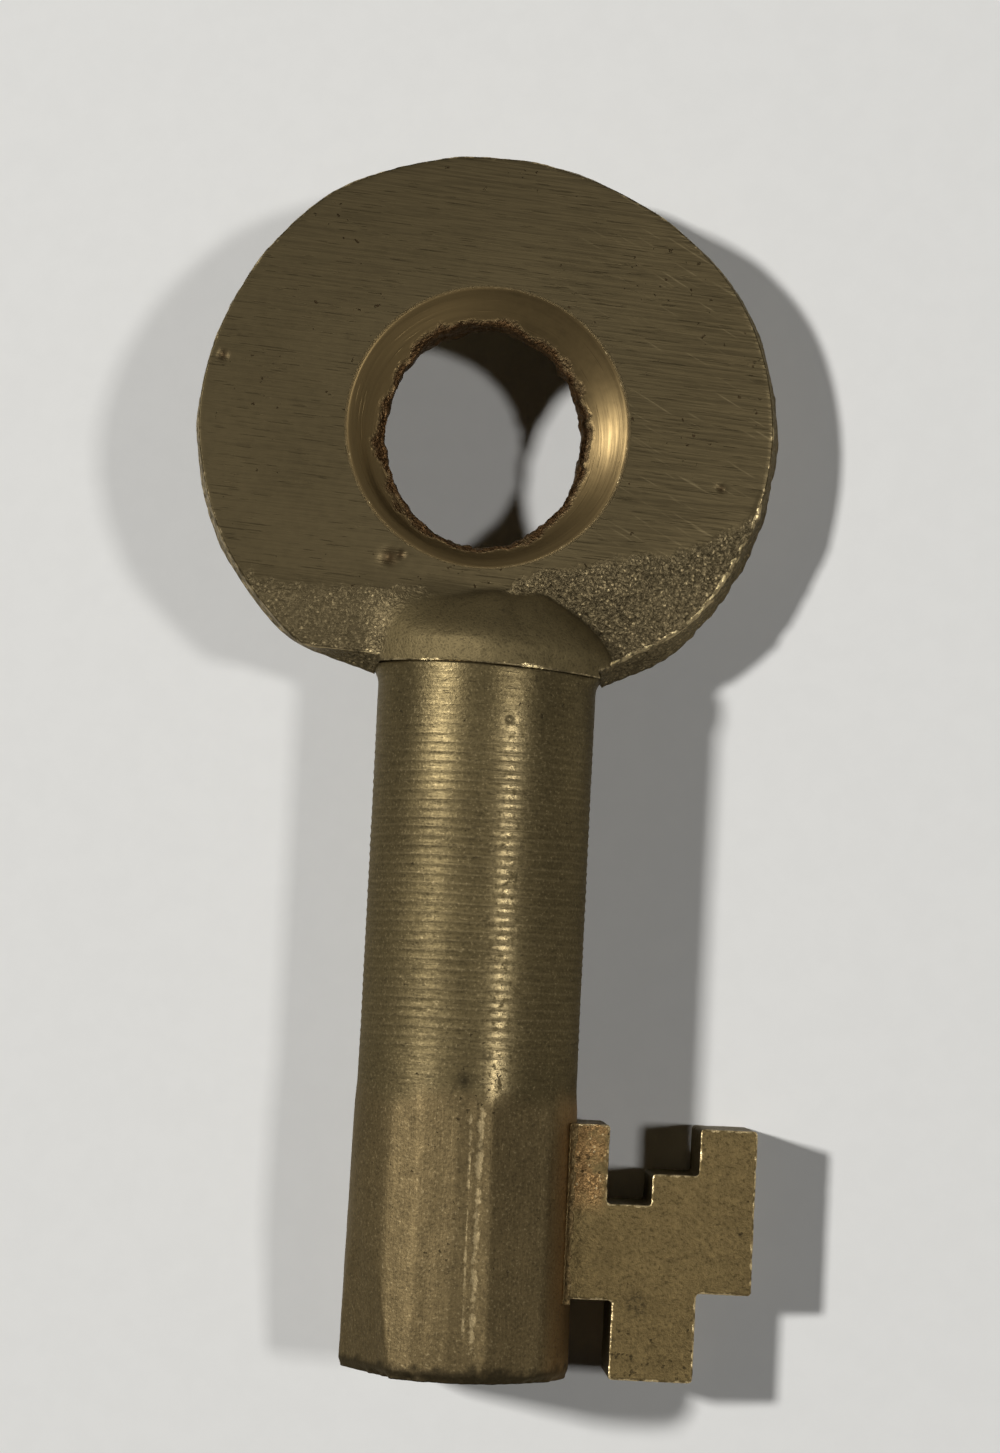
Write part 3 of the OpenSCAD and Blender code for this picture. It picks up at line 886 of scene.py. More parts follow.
def bit_surface():
    """Bit as its ward outline carried through its thickness, with worn edges rounded by quarter ovals."""
    root_x, edge_x, top, foot = BIT_ROOT_X, BIT_HIGH[0], BIT_HIGH[1], BIT_LOW[1]
    corners = (
        (root_x, LOWER_Y), (LOWER_X, LOWER_Y), (LOWER_X, foot), (CORNER_X, foot), (CORNER_X, CORNER_Y),
        (edge_x, CORNER_Y), (edge_x, top), (OUTER_X, top), (OUTER_X, SIDE_Y), (SIDE_X, SIDE_Y),
        (SIDE_X, DEEP_Y), (DEEP_X, DEEP_Y), (DEEP_X, top), (root_x, top),
    )
    outline = rounded_outline(corners, BIT_CORNER, BIT_GRID)
    tangent = np.roll(outline, -1, axis=0) - np.roll(outline, 1, axis=0)
    normal = np.stack((tangent[:, 1], -tangent[:, 0]), axis=1) / np.linalg.norm(tangent, axis=1)[:, None]
    half = BIT_HIGH[2]
    bend = np.linspace(0, pi / 2, 7)
    wall = np.linspace(half - BIT_DROP, BIT_DROP - half, 16)[1:-1]
    inset = np.concatenate((BIT_EDGE * (1 - np.sin(bend)), 0 * wall, BIT_EDGE * (1 - np.cos(bend))))
    front = half - BIT_DROP + BIT_DROP * np.cos(bend)
    height = np.concatenate((front, wall, -front[::-1]))
    edge = np.concatenate((np.sqrt(np.sin(bend)), 0 * wall, np.sqrt(np.cos(bend))))
    side = np.concatenate((0 * bend, 1 + 0 * wall, 0 * bend))
    shape = (len(outline), len(height))
    spread = outline[:, None, :] - normal[:, None, :] * inset[None, :, None]
    points = np.concatenate((spread, np.broadcast_to(height[None, :, None], shape + (1,))), axis=-1)
    nicks = NICK_DEPTH * np.maximum(rough(points, BIT_NICKS), 0)
    inward = edge * nicks - side * rough(points, BIT_SKIN)
    points[..., :2] -= normal[:, None, :] * inward[..., None]
    return points, {"edge": np.broadcast_to(edge, shape), "wall": np.broadcast_to(side, shape)}


def build_bit():
    """Bit's closed surface: the carried outline and its two flat faces."""
    points, marks = bit_surface()
    rows, columns = points.shape[:2]
    flat = points.reshape(-1, 3)
    quads = ring_quads(rows, columns, False)[:, ::-1]
    front = np.arange(rows) * columns
    caps = [front.tolist(), (front + columns - 1)[::-1].tolist()]
    flow = flat * (9, 0.5, 2)
    faces = quads.tolist() + caps
    return add_piece("bit_surface", flat, faces, marks, flow, "bit", len(caps))


def build_braze():
    """Two fillets of braze along the bit's root, each a hollow arc carried along it and closed behind."""
    half = BIT_HIGH[2]
    middle_z = half + BRAZE_R
    middle_x = ((TIP_R + BRAZE_R) ** 2 - middle_z**2) ** 0.5
    bend = np.linspace(atan2(-middle_z, -middle_x) - BRAZE_TUCK, -pi / 2, 9)
    arc_x = middle_x + BRAZE_R * np.cos(bend)
    arc_z = middle_z + BRAZE_R * np.sin(bend)
    section_x = np.concatenate((arc_x, (middle_x - 0.1, arc_x[0] - 0.15)))[None, :]
    section_z = np.concatenate((arc_z, (half - 0.35, half - 0.25)))[None, :]
    y = np.linspace(LOWER_Y - BRAZE_PAST, BIT_HIGH[1], 110)[:, None]
    smooth = np.stack(np.broadcast_arrays(section_x, y, section_z), axis=-1)
    index = np.arange(smooth[..., 0].size).reshape(smooth.shape[:2])
    nearer, further = index[:-1], index[1:]
    loop = (nearer, further, np.roll(further, -1, axis=1), np.roll(nearer, -1, axis=1))
    quads = np.stack(loop, axis=-1).reshape(-1, 4)
    points, faces = [], []
    for side in (1, -1):
        lump = rough(smooth + side * BRAZE_APART, BRAZE_LUMPS)
        fillet = (smooth + np.stack((lump, 0 * lump, lump), axis=-1)) * (1, 1, side)
        flat = fillet.reshape(-1, 3)
        turned = outward(flat - flat.mean(axis=0), quads)
        caps = [index[0], index[-1][::-1]]
        if turned is not quads:
            caps = [cap[::-1] for cap in caps]
        offset = sum(len(done) for done in points)
        faces += (turned + offset).tolist() + [(cap + offset).tolist() for cap in caps]
        points.append(flat)
    flat = np.concatenate(points)
    return add_piece("bit_braze_surface", flat, faces, {}, flat, "bit_braze")


class Wiring:
    """Adds nodes to one tree and joins them, so that a finish reads as a list of steps."""

    def __init__(self, tree):
        self.tree = tree

    def join(self, source, target):
        """Joins an output to an input."""
        self.tree.links.new(source, target)

    def add(self, kind, inputs=None, **settings):
        """New node with its settings, and its inputs joined to sockets or set to values."""
        node = self.tree.nodes.new(kind)
        for name, value in settings.items():
            setattr(node, name, value)
        for name, value in (inputs or {}).items():
            if isinstance(value, bpy.types.NodeSocket):
                self.join(value, node.inputs[name])
            else:
                node.inputs[name].default_value = value
        return node

    def math(self, operation, first, second):
        """Result of one sum."""
        return self.add("ShaderNodeMath", {0: first, 1: second}, operation=operation).outputs[0]

    def times(self, first, *others):
        """Product of all these values."""
        for other in others:
            first = self.math("MULTIPLY", first, other)
        return first

    def most(self, first, *others):
        """Greatest of all these values."""
        for other in others:
            first = self.math("MAXIMUM", first, other)
        return first

    def plus(self, value, *factors):
        """Value with the product of these factors added."""
        return self.math("ADD", value, self.times(*factors))

    def mix(self, share, first, second):
        """Colour between two others."""
        return self.add("ShaderNodeMix", {0: share, 6: first, 7: second}, data_type="RGBA").outputs[2]

    def tint(self, base, tone, *shares):
        """Colour moved towards a tone by the product of these shares."""
        return self.mix(self.times(*shares), base, tone)

    def blend(self, share, first, second):
        """Value between two others."""
        return self.add("ShaderNodeMix", {0: share, 2: first, 3: second}, data_type="FLOAT").outputs[0]

    def ramp(self, value, low, high, start=0.0, end=1.0):
        """Smooth step between two values."""
        inputs = {"Value": value, "From Min": low, "From Max": high, "To Min": start, "To Max": end}
        return self.add("ShaderNodeMapRange", inputs, interpolation_type="SMOOTHSTEP").outputs[0]

    def noise(self, vector, scale, detail=2.0, roughness=0.5):
        """Noise value at a scale."""
        inputs = {"Vector": vector, "Scale": scale, "Detail": detail, "Roughness": roughness}
        return self.add("ShaderNodeTexNoise", inputs).outputs[0]

    def mark(self, name):
        """Value of one of the piece's own attributes."""
        return self.add("ShaderNodeAttribute", attribute_name=name).outputs["Fac"]

    def marks(self, names):
        """Values of several of the piece's own attributes, by name."""
        return {name: self.mark(name) for name in names}

    def axes(self, vector):
        """The three parts of a vector."""
        return self.add("ShaderNodeSeparateXYZ", {"Vector": vector}).outputs


def new_group(name, inputs, outputs):
    """Empty shader group with named sockets: its wiring, its inputs and the node that takes its outputs."""
    tree = bpy.data.node_groups.new(name, "ShaderNodeTree")
    for direction, sockets in (("INPUT", inputs), ("OUTPUT", outputs)):
        for socket, kind in sockets.items():
            tree.interface.new_socket(socket, in_out=direction, socket_type="NodeSocket" + kind)
    wiring = Wiring(tree)
    return tree, wiring, wiring.add("NodeGroupInput").outputs, wiring.add("NodeGroupOutput").inputs


def tarnish_group(name):
    """Brass that drifts between a clean and a dull tone, with darker stains."""
    sockets = {"Vector": "Vector", "Clean": "Color", "Dull": "Color", "Stain": "Color", "Cover": "Float"}
    tree, w, given, result = new_group(name, sockets, {"Colour": "Color"})
    aside = {"Vector": given["Vector"], "Location": (7.3, 3.1, 5.7), "Rotation": (0.5, 0.3, 0.7)}
    aside = w.add("ShaderNodeMapping", aside).outputs[0]
    broad = w.ramp(w.noise(aside, 0.22, 3, 0.6), 0.35, 0.65)
    fine = w.ramp(w.noise(given["Vector"], 2.4, 4, 0.65), 0.3, 0.7)
    tone = w.mix(w.plus(w.times(broad, 0.5), fine, 0.5), given["Clean"], given["Dull"])
    stained = w.times(w.ramp(w.noise(given["Vector"], 0.9, 6, 0.7), 0.56, 0.74), given["Cover"])
    w.join(w.mix(stained, tone, given["Stain"]), result["Colour"])
    return tree


def tool_lines_group(name):
    """Fine lines of a file or a lathe tool along the slow direction of the flow, and sparse scratches."""
    outputs = {"Height": "Float", "Streak": "Float", "Scratch": "Float"}
    tree, w, given, result = new_group(name, {"Flow": "Vector"}, outputs)
    fine = w.noise(given["Flow"], 1.5, 3, 0.6)
    scratch = w.ramp(w.noise(given["Flow"], 3.1, 1), 0.66, 0.76)
    w.join(w.plus(fine, scratch, -0.5), result["Height"])
    w.join(w.ramp(fine, 0.32, 0.68), result["Streak"])
    w.join(scratch, result["Scratch"])
    return tree


def grain_group(name):
    """Sand-cast grain: rounded and wormy lumps, their crests and hollows, and those that catch light."""
    outputs = {"Height": "Float", "Crest": "Float", "Hollow": "Float", "Glint": "Float"}
    tree, w, given, result = new_group(name, {"Vector": "Vector", "Scale": "Float"}, outputs)
    inputs = {"Vector": given["Vector"], "Scale": given["Scale"]}
    lumps = w.add("ShaderNodeTexVoronoi", inputs | {"Smoothness": 0.5}, feature="SMOOTH_F1").outputs
    worms = w.add("ShaderNodeTexNoise", inputs | {"Detail": 3.0, "Distortion": 1.2}).outputs[0]
    height = w.plus(w.times(worms, 1.6), lumps["Distance"], -0.7)
    cells = w.add("ShaderNodeTexVoronoi", inputs, feature="F1").outputs
    picked = w.add("ShaderNodeSeparateColor", {"Color": cells["Color"]}).outputs[0]
    glint = w.times(w.ramp(picked, 0.7, 0.9), w.ramp(cells["Distance"], 0.45, 0.1))
    w.join(height, result["Height"])
    w.join(w.ramp(height, 0.45, 0.75), result["Crest"])
    w.join(w.ramp(height, 0.3, 0.05), result["Hollow"])
    w.join(glint, result["Glint"])
    return tree


def wear_group(name):
    """Broken line of bare metal along worn edges."""
    tree, w, given, result = new_group(name, {"Edge": "Float", "Vector": "Vector"}, {"Worn": "Float"})
    broken = w.noise(given["Vector"], 2.6, 4, 0.65)
    level = w.plus(given["Edge"], w.math("SUBTRACT", broken, 0.55), 2.4)
    w.join(w.ramp(level, 0.7, 1.1), result["Worn"])
    return tree


def pits_group(name):
    """Scattered specks of uneven outline, gathered in patches."""
    sockets = {"Vector": "Vector", "Scale": "Float", "Level": "Float"}
    tree, w, given, result = new_group(name, sockets, {"Pit": "Float"})
    specks = w.noise(given["Vector"], given["Scale"], 3.0, 0.6)
    patches = w.ramp(w.noise(given["Vector"], 0.3, 2), 0.4, 0.65, -0.05, 0.05)
    height = w.math("SUBTRACT", w.math("ADD", specks, patches), given["Level"])
    w.join(w.ramp(height, 0.0, 0.05), result["Pit"])
    return tree


EFFECTS = {
    "Tarnish": tarnish_group,
    "Tool lines": tool_lines_group,
    "Casting grain": grain_group,
    "Edge wear": wear_group,
    "Pits": pits_group,
}


def effect(w, name, inputs):
    """Outputs of a shared effect placed in a finish. Each effect is built once, at its first use."""
    tree = bpy.data.node_groups.get(name) or EFFECTS[name](name)
    return w.add("ShaderNodeGroup", inputs, node_tree=tree).outputs


def new_material(name):
    """Empty material with its wiring, its shader and the place on its piece."""
    material = bpy.data.materials.new(name)
    material.use_nodes = True
    w = Wiring(material.node_tree)
    shader = material.node_tree.nodes["Principled BSDF"]
    return material, w, shader, w.add("ShaderNodeTexCoord").outputs["Object"]


def new_finish(name):
    """Empty brass finish: its material, wiring and shader, the place on the flat key, and the tool's flow."""
    material, w, shader, place = new_material(name)
    unrolled = {"Vector": place, "Rotation": (0, -ROLL, 0), "Scale": (MM, MM, MM)}
    flat = w.add("ShaderNodeMapping", unrolled).outputs[0]
    flow = w.add("ShaderNodeAttribute", attribute_name="flow").outputs["Vector"]
    return material, w, shader, flat, flow


def set_shader(w, shader, base, roughness, relief):
    """Joins a finish to its shader, as a dull metal. The relief is in millimetres."""
    bump = w.add("ShaderNodeBump", {"Height": relief, "Distance": 1 / MM, "Strength": 1.0})
    w.join(base, shader.inputs["Base Color"])
    w.join(roughness, shader.inputs["Roughness"])
    w.join(bump.outputs[0], shader.inputs["Normal"])
    shader.inputs["Metallic"].default_value = METAL
    shader.inputs["Specular Tint"].default_value = SHEEN


def shade(tone, factor=1.0):
    """Colour with an alpha, made darker or lighter by a factor."""
    return tuple(min(part * factor, 1) for part in tone) + (1,)


def tarnished(w, flat, base, colours, cover, dull):
    """Tone of one brass surface, drifting between clean and dull and stained over a share of it."""
    clean = 1.1
    inputs = {
        "Vector": flat,
        "Clean": shade(base, clean),
        "Dull": shade(base, dull),
        "Stain": shade(colours.grime_and_shade, 0.6),
        "Cover": cover,
    }
    return effect(w, "Tarnish", inputs)["Colour"]


def cast_finish(colours):
    """Cast brass: filed faces with long scratches, granular as-cast skin, sunk bevels, a reddish throat."""
    material, w, shader, flat, flow = new_finish("cast_brass")
    marks = w.marks(BOW_MARKS)
    across, along, _ = w.axes(flat)
    lines = effect(w, "Tool lines", {"Flow": flow})
    grain = effect(w, "Casting grain", {"Vector": flat, "Scale": GRAIN_SCALE})
    fine = w.noise(flat, 9.0, 2, 0.6)
    pits = effect(w, "Pits", {"Vector": flat, "Scale": 3.2, "Level": 0.71})["Pit"]
    slanted = {"Vector": flat, "Rotation": (0, 0, SLASH_TURN), "Scale": (2.6, 0.13, 1)}
    slanted = w.add("ShaderNodeMapping", slanted, vector_type="TEXTURE").outputs[0]
    slashes = w.times(w.ramp(w.noise(slanted, 1.0, 2), 0.62, 0.74), w.ramp(across, 1.0, 7.0))

    filed = tarnished(w, flat, colours.filed, colours, 0.25, 0.8)
    shaded = w.most(w.ramp(across, -2.0, 9.0), w.ramp(along, 44.0, 52.0))
    filed = w.tint(filed, shade(colours.filed, 0.6), shaded, 0.6)
    filed = w.tint(filed, shade(colours.filed, 1.5), lines["Streak"], 0.5)
    filed = w.tint(filed, shade(colours.filed, 0.45), lines["Scratch"], 0.35)
    filed = w.tint(filed, shade(colours.worn, 0.6), slashes, 0.25)

    cast = tarnished(w, flat, colours.cast, colours, 0.4, 0.65)
    cast = w.tint(cast, shade(colours.filed, 0.95), w.ramp(across, 1.0, -4.0, 0.0, 0.8))
    skin = w.most(marks["cast"], marks["throat"], w.times(marks["rim"], 0.7))
    cast = w.tint(cast, shade(colours.grime_and_shade, 1.8), grain["Hollow"], skin, 0.6)
    cast = w.tint(cast, shade(colours.worn, 0.75), grain["Crest"], skin, 0.55)
    cast = w.tint(cast, shade(colours.worn, 1.3), grain["Glint"], skin, 0.95)
    base = w.mix(marks["filed"], cast, filed)

    dome = tarnished(w, flat, colours.dome, colours, 0.3, 0.75)
    # Painted light: the dome is lighter towards the left, where the left lamp's highlight falls
    dome = w.tint(dome, shade(colours.dome, 1.1), w.ramp(across, -0.5, -3.0, 0.0, 0.45))
    dome = w.tint(dome, shade(colours.grime_and_shade, 1.4), w.ramp(fine, 0.5, 0.3, 0.0, 0.5))
    base = w.tint(base, dome, marks["dome"], 0.9)
    # Painted shade in the crease at the dome's foot
    base = w.tint(base, shade(colours.grime_and_shade), marks["crease"], 0.55)

    sunk = tarnished(w, flat, colours.sunk, colours, 0.3, 0.75)
    # Painted light: the bevel is lighter on the left and towards the bottom
    lighter = w.most(w.ramp(across, 1.0, -3.5), w.ramp(along, HOLE_Y - 1, HOLE_Y - 5, 0.0, 0.6))
    sunk = w.tint(sunk, shade(colours.sunk, 1.8), lighter)
    sunk = w.tint(sunk, shade(colours.sunk, 1.35), lines["Streak"], 0.4)
    base = w.tint(base, sunk, marks["sink"])
    base = w.tint(base, tarnished(w, flat, colours.throat, colours, 0.6, 0.5), marks["throat"])

    worn = effect(w, "Edge wear", {"Edge": marks["edge"], "Vector": flat})["Worn"]
    # Burrs and the rolled edge: bare metal, painted far lighter than brass as a painted glint
    burrs_and_glint = w.times(w.ramp(marks["edge"], 1.1, 1.4), w.ramp(w.noise(flat, 4.0, 2), 0.42, 0.55))
    base = w.tint(base, shade(colours.worn), worn, 0.8)
    base = w.tint(base, shade(colours.worn, 2.4), burrs_and_glint)
    pitted = w.most(w.times(pits, marks["filed"]), marks["pit"])
    base = w.tint(base, shade(colours.throat, 0.4), pitted, 0.75)

    roughness = w.blend(lines["Streak"], 0.48, 0.37)
    roughness = w.blend(skin, roughness, 0.44)
    roughness = w.blend(marks["dome"], roughness, 0.62)
    roughness = w.blend(marks["sink"], roughness, w.blend(lines["Streak"], 0.41, 0.33))
    roughness = w.blend(worn, roughness, 0.28)
    roughness = w.blend(burrs_and_glint, roughness, 0.42)
    smooth = w.math("SUBTRACT", 1.0, w.most(skin, marks["dome"]))
    relief = w.times(lines["Height"], smooth, w.blend(marks["sink"], 0.022, 0.008))
    relief = w.plus(relief, grain["Height"], skin, 0.11)
    relief = w.plus(relief, fine, marks["dome"], 0.03)
    relief = w.plus(relief, fine, burrs_and_glint, 0.1)
    relief = w.plus(relief, pitted, -0.05)
    set_shader(w, shader, base, roughness, relief)
    return material


def turned_finish(colours):
    """Turned brass: rings with painted highlight dashes above, drawn streaks and mottle on the tip, dark
    ends.
    """
    material, w, shader, flat, flow = new_finish("turned_brass")
    marks = w.marks(BARREL_MARKS)
    across, along, _ = w.axes(flat)
    rings = effect(w, "Tool lines", {"Flow": flow})
    drawn = w.add("ShaderNodeMapping", {"Vector": flat, "Scale": (4.6, 0.3, 4.6)}).outputs[0]
    streaks = effect(w, "Tool lines", {"Flow": drawn})
    grit = w.noise(flat, 8.0, 3, 0.65)
    mottle = w.ramp(w.noise(flat, 2.6, 5, 0.7), 0.36, 0.64)
    pits = effect(w, "Pits", {"Vector": flat, "Scale": 3.4, "Level": 0.71})["Pit"]

    tip = tarnished(w, flat, colours.unturned, colours, 0.4, 0.75)
    tip = w.tint(tip, shade(colours.unturned, 1.3), streaks["Streak"], 0.2)
    tip = w.tint(tip, shade(colours.unturned, 0.6), mottle, 0.3)
    # Coppery tone on the tip's right flank by the bit: braze stain, with painted light lifting that flank
    tip = w.tint(tip, shade(colours.copper, 1.2), w.ramp(across, 3.4, 4.5, 0.0, 0.7))

    turned = tarnished(w, flat, colours.turned, colours, 0.3, 0.75)
    turned = w.tint(turned, shade(colours.turned, 1.4), rings["Streak"], 0.3)
    turned = w.tint(turned, shade(colours.grime_and_shade, 1.3), rings["Scratch"], 0.45)
    broken = w.ramp(w.noise(flat, 3.0, 3, 0.7), 0.32, 0.52)
    turned = w.tint(turned, shade(colours.worn, 0.9), marks["crest"], broken, 0.12)
    # Painted highlight: lighter, smoother dashes on the groove floors in the polished stretches
    highlight_dash = w.times(marks["polish"], broken, w.math("SUBTRACT", 1.0, marks["crest"]))
    turned = w.tint(turned, shade(colours.worn, 0.9), highlight_dash, 0.3)

    base = w.mix(marks["turned"], tip, turned)
    base = w.tint(base, shade(colours.grime_and_shade, 1.5), w.ramp(grit, 0.5, 0.3, 0.0, 0.5))
    base = w.tint(base, shade(colours.worn, 0.75), w.ramp(grit, 0.55, 0.75, 0.0, 0.5))
    ridge = w.times(marks["edge"], 1.15)
    worn = effect(w, "Edge wear", {"Edge": ridge, "Vector": flat})["Worn"]
    base = w.tint(base, shade(colours.worn), worn, 0.35)
    # Darkening: dirt at the tip's end, the stain, pits and the bore, and painted shade along the seam under
    # the bow
    grimy = ((marks["hollow"], 0.75), (marks["spot"], 0.8), (pits, 0.6), (marks["inside"], 0.7))
    grime_and_shade = w.most(*(w.times(*pair) for pair in grimy))
    base = w.tint(base, shade(colours.grime_and_shade), grime_and_shade)

    dull = w.ramp(along, 20.0, 29.0, 0.62, 0.45)
    clean = w.ramp(along, 20.0, 29.0, 0.51, 0.35)
    turned_rough = w.blend(highlight_dash, w.blend(rings["Streak"], dull, clean), 0.27)
    roughness = w.blend(marks["turned"], w.blend(mottle, 0.48, 0.54), turned_rough)
    roughness = w.blend(worn, roughness, 0.42)
    roughness = w.blend(grime_and_shade, roughness, 0.6)
    relief = w.times(w.blend(marks["turned"], streaks["Height"], rings["Height"]), 0.01)
    relief = w.plus(relief, grit, 0.014)
    relief = w.plus(relief, pits, -0.03)
    set_shader(w, shader, base, roughness, relief)
    return material


def milled_finish(colours):
    """Milled brass: mottled granular faces, worn edges with painted highlight, painted shade on walls,
    coppery root.
    """
    material, w, shader, flat, flow = new_finish("milled_brass")
    edge, wall = w.mark("edge"), w.mark("wall")
    across, along, _ = w.axes(flat)
    lines = effect(w, "Tool lines", {"Flow": flow})
    grain = effect(w, "Casting grain", {"Vector": flat, "Scale": GRAIN_SCALE})
    grit = w.noise(flat, 7.0, 3, 0.65)
    mottle = w.ramp(w.noise(flat, 1.8, 5, 0.7), 0.35, 0.65)
    pits = effect(w, "Pits", {"Vector": flat, "Scale": 3.0, "Level": 0.68})["Pit"]

    base = tarnished(w, flat, colours.milled, colours, 0.35, 0.8)
    base = w.tint(base, shade(colours.milled, 1.45), mottle, 0.55)
    base = w.tint(base, shade(colours.milled, 1.3), lines["Streak"], 0.25)
    base = w.tint(base, shade(colours.milled, 0.45), w.ramp(grit, 0.5, 0.3, 0.0, 0.7))
    patchy = w.ramp(w.noise(flat, 1.3, 4, 0.6), 0.34, 0.56)
    rooted = w.times(w.ramp(across, 6.3, 5.7), w.ramp(along, 6.9, 8.2), patchy)
    base = w.tint(base, shade(colours.copper), rooted, 0.9)
    base = w.tint(base, shade(colours.worn, 1.15), grain["Glint"], rooted)
    # Painted shade on all the bit's side walls
    base = w.tint(base, shade(colours.grime_and_shade, 1.4), wall, 0.6)
    worn = effect(w, "Edge wear", {"Edge": w.times(edge, 1.2), "Vector": flat})["Worn"]
    # Bare metal along worn edges, painted lighter still as a painted highlight
    base = w.tint(base, shade(colours.worn, 1.4), worn, 0.9)
    away = w.add("ShaderNodeVectorMath", {0: flat, 1: BIT_STAIN}, operation="DISTANCE").outputs["Value"]
    stain = w.times(w.ramp(away, 0.9, 0.2), w.ramp(w.noise(flat, 3.5, 3, 0.7), 0.45, 0.6))
    base = w.tint(base, shade(colours.grime_and_shade), stain, 0.7)
    base = w.tint(base, shade(colours.grime_and_shade), pits, 0.6)

    roughness = w.blend(rooted, w.ramp(grit, 0.3, 0.7, 0.5, 0.4), 0.32)
    roughness = w.blend(worn, roughness, 0.26)
    relief = w.plus(w.times(grit, 0.012), grain["Height"], w.blend(rooted, 0.005, 0.07))
    relief = w.plus(relief, mottle, 0.02)
    relief = w.plus(relief, pits, -0.03)
    set_shader(w, shader, base, roughness, relief)
    return material


def braze_finish(colours):
    """Braze: lumpy, lighter than the brass beside it, with grime in its hollows."""
    material, w, shader, flat, _ = new_finish("braze")
    grain = effect(w, "Casting grain", {"Vector": flat, "Scale": 5.0})
    base = tarnished(w, flat, colours.braze, colours, 0.5, 0.75)
    base = w.tint(base, shade(colours.grime_and_shade, 1.4), grain["Hollow"], 0.6)
    base = w.tint(base, shade(colours.worn), grain["Glint"], 0.6)
    roughness = w.blend(grain["Crest"], 0.5, 0.36)
    set_shader(w, shader, base, roughness, w.times(grain["Height"], 0.06))
    return material


def floor_finish(colours):
    """Plain pale floor with a very faint paper tooth."""
    material, w, shader, place = new_material("pale_floor")
    tooth = w.ramp(w.noise(place, 900.0, 3), 0.3, 0.7)
    w.join(w.mix(tooth, shade(colours.floor, 0.985), shade(colours.floor)), shader.inputs["Base Color"])
    shader.inputs["Roughness"].default_value = 0.9
    shader.inputs["Specular IOR Level"].default_value = 0.1
    return material


def paint(piece, material):
    """Gives a piece one material."""
    piece.data.materials.clear()
    piece.data.materials.append(material)


def add_floor(scene):
    """Plain square floor that touches the underside of the key."""
    lowest = CAD_BOX[0][2]
    corners = [(x * FLOOR_REACH, y * FLOOR_REACH, lowest) for x, y in ((-1, -1), (1, -1), (1, 1), (-1, 1))]
    mesh = bpy.data.meshes.new("floor")
    mesh.from_pydata(corners, [], [(0, 1, 2, 3)])
    floor = bpy.data.objects.new("floor", mesh)
    scene.collection.objects.link(floor)
    paint(floor, floor_finish(scene.key_colours))


def add_lamp(scene, name, direction, height, power):
    """Square soft light that faces the middle of the key, from a direction and a height in degrees."""
    lamp = bpy.data.lights.new(name, "AREA")
    lamp.size = LAMP_WIDTH
    lamp.energy = power
    turn, up = radians(direction), radians(height)
    place = Vector((cos(up) * cos(turn), cos(up) * sin(turn), sin(up))) * LAMP_DISTANCE
    obj = bpy.data.objects.new(name, lamp)
    obj.location = Vector((0, HOLE_Y / 2 / MM, 0)) + place
    obj.rotation_euler = place.to_track_quat("Z", "Y").to_euler()
    scene.collection.objects.link(obj)


def add_surroundings(scene):
    """White surroundings that the camera and the brass see, and that cast hardly any light."""
    world = bpy.data.worlds.new("surroundings")
    world.use_nodes = True
    scene.world = world
    w = Wiring(world.node_tree)
    background = world.node_tree.nodes["Background"]
    path = w.add("ShaderNodeLightPath").outputs
    ray = w.add("ShaderNodeTexCoord").outputs["Generated"]
    mirrored = w.ramp(w.axes(ray)[2], 0.0, 0.9, HORIZON, OVERHEAD)
    seen = w.blend(path["Is Camera Ray"], mirrored, BACKDROP)
    shown = w.most(path["Is Camera Ray"], path["Is Glossy Ray"])
    w.join(w.blend(shown, AMBIENT, seen), background.inputs["Strength"])
    background.inputs["Color"].default_value = (1, 1, 1, 1)


def add_camera(scene):
    """Camera over the key, upright along the key's length but for its lean."""
    camera = bpy.data.cameras.new("camera")
    camera.lens = CAMERA_LENS
    camera.sensor_width = CAMERA_SENSOR
    camera.clip_start = CAMERA_NEAR
    eye = Vector(lay(np.array(CAMERA_AT)))
    back = (eye - Vector(lay(np.array(CAMERA_AIM)))).normalized()
    upright = Vector(ROLLED @ np.array((sin(CAMERA_LEAN), cos(CAMERA_LEAN), 0)))
    right = upright.cross(back).normalized()
    turn = Matrix((right, back.cross(right), back)).transposed()
    obj = bpy.data.objects.new("camera", camera)
    obj.matrix_world = Matrix.Translation(eye) @ turn.to_4x4()
    scene.collection.objects.link(obj)
    scene.camera = obj


class KEY_OT_bow(bpy.types.Operator):
    """Cast bow with its filed faces, countersunk hole, shoulders, domed neck and tang"""

    bl_idname = "switch_key.bow"
    bl_label = "Bow"

    def execute(self, context):
        paint(build_bow(context.scene.key_sizes), cast_finish(context.scene.key_colours))
        return {"FINISHED"}


class KEY_OT_barrel(bpy.types.Operator):
    """Turned hollow barrel with its unturned tip"""

    bl_idname = "switch_key.barrel"
    bl_label = "Barrel"

    def execute(self, context):
        paint(build_barrel(context.scene.key_sizes), turned_finish(context.scene.key_colours))
        return {"FINISHED"}


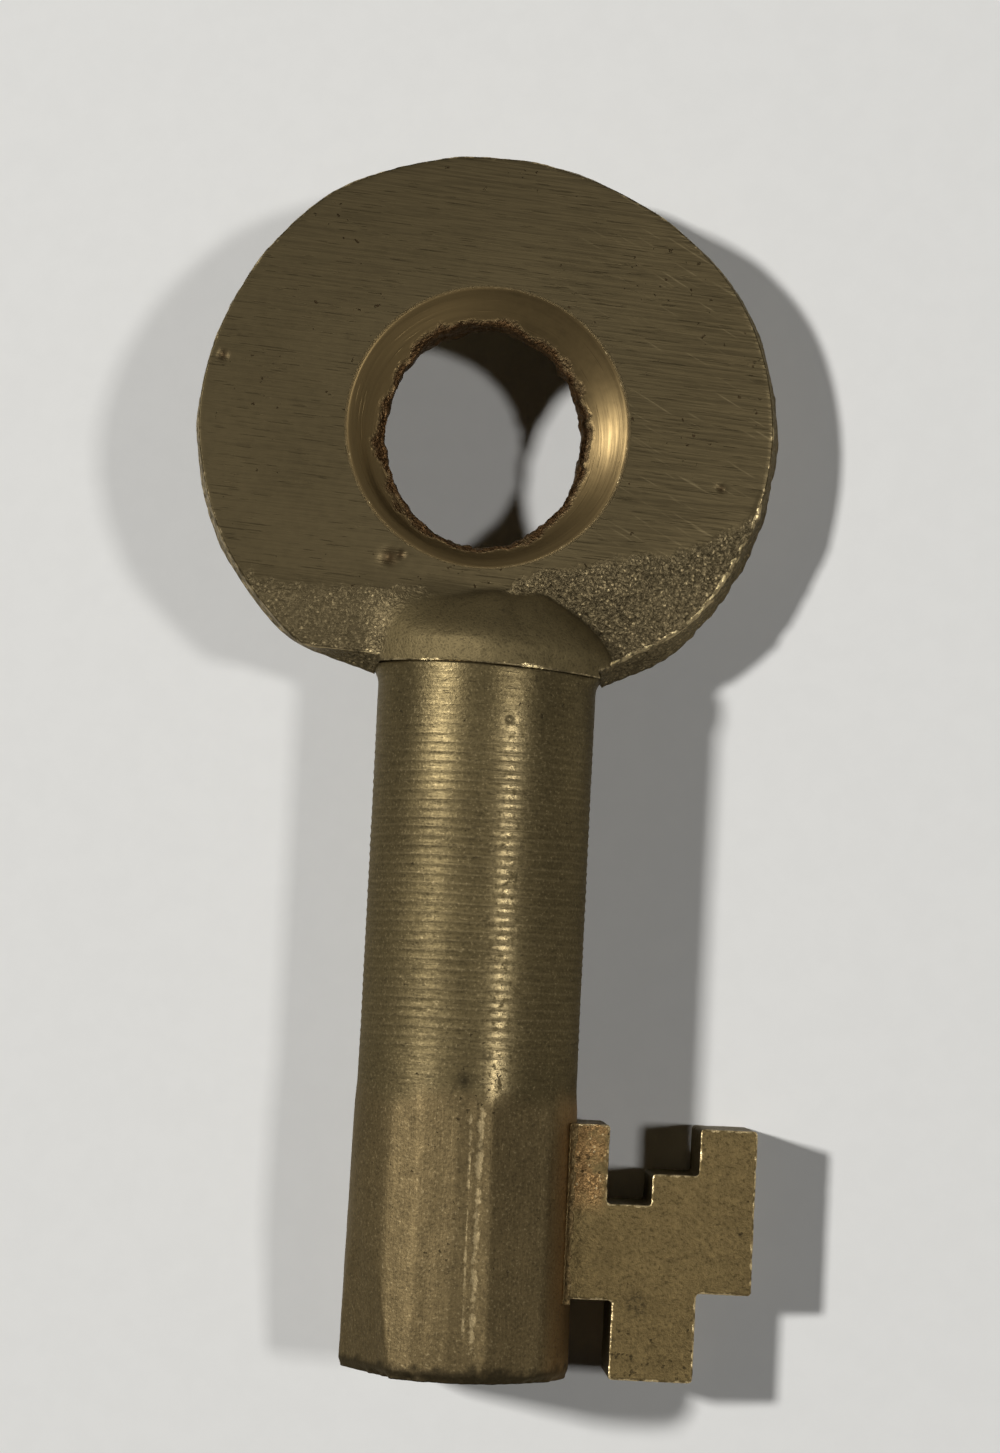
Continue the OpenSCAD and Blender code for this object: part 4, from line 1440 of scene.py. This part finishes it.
class KEY_OT_bit(bpy.types.Operator):
    """Flat bit with its stepped ward cuts"""

    bl_idname = "switch_key.bit"
    bl_label = "Bit"

    def execute(self, context):
        paint(build_bit(), milled_finish(context.scene.key_colours))
        return {"FINISHED"}


class KEY_OT_braze(bpy.types.Operator):
    """Braze fillets along the bit, and the hidden braze in the neck"""

    bl_idname = "switch_key.braze"
    bl_label = "Braze"

    def execute(self, context):
        material = braze_finish(context.scene.key_colours)
        paint(build_braze(), material)
        paint(frame["nodes"]["neck_braze"], material)
        return {"FINISHED"}


class KEY_OT_stage(bpy.types.Operator):
    """Pale floor, two soft lights, dim surroundings and the camera"""

    bl_idname = "switch_key.stage"
    bl_label = "Stage"

    def execute(self, context):
        scene = context.scene
        add_floor(scene)
        for lamp in LAMPS:
            add_lamp(scene, *lamp)
        add_surroundings(scene)
        add_camera(scene)
        scene.view_settings.view_transform = "Standard"
        return {"FINISHED"}


OPERATORS = (KEY_OT_bow, KEY_OT_barrel, KEY_OT_bit, KEY_OT_braze, KEY_OT_stage)


class KEY_PT_panel(bpy.types.Panel):
    """Lists the key's pieces, sizes and colours"""

    bl_idname = "KEY_PT_panel"
    bl_label = "Switch Key"
    bl_space_type = "VIEW_3D"
    bl_region_type = "UI"
    bl_category = "Switch Key"

    def draw(self, context):
        for operator in OPERATORS:
            self.layout.operator(operator.bl_idname)
        for group in (context.scene.key_sizes, context.scene.key_colours):
            for name in group.__annotations__:
                self.layout.prop(group, name)


CLASSES = (KeySizes, KeyColours) + OPERATORS + (KEY_PT_panel,)


def register():
    """Registers the classes and hangs the key's properties on the scene."""
    for cls in CLASSES:
        bpy.utils.register_class(cls)
    bpy.types.Scene.key_sizes = bpy.props.PointerProperty(type=KeySizes)
    bpy.types.Scene.key_colours = bpy.props.PointerProperty(type=KeyColours)


def unregister():
    """Takes the properties and the classes away again."""
    del bpy.types.Scene.key_colours
    del bpy.types.Scene.key_sizes
    for cls in reversed(CLASSES):
        bpy.utils.unregister_class(cls)


def main():
    register()
    bpy.ops.switch_key.bow()
    bpy.ops.switch_key.barrel()
    bpy.ops.switch_key.bit()
    bpy.ops.switch_key.braze()
    bpy.ops.switch_key.stage()


if __name__ == "__main__":
    main()
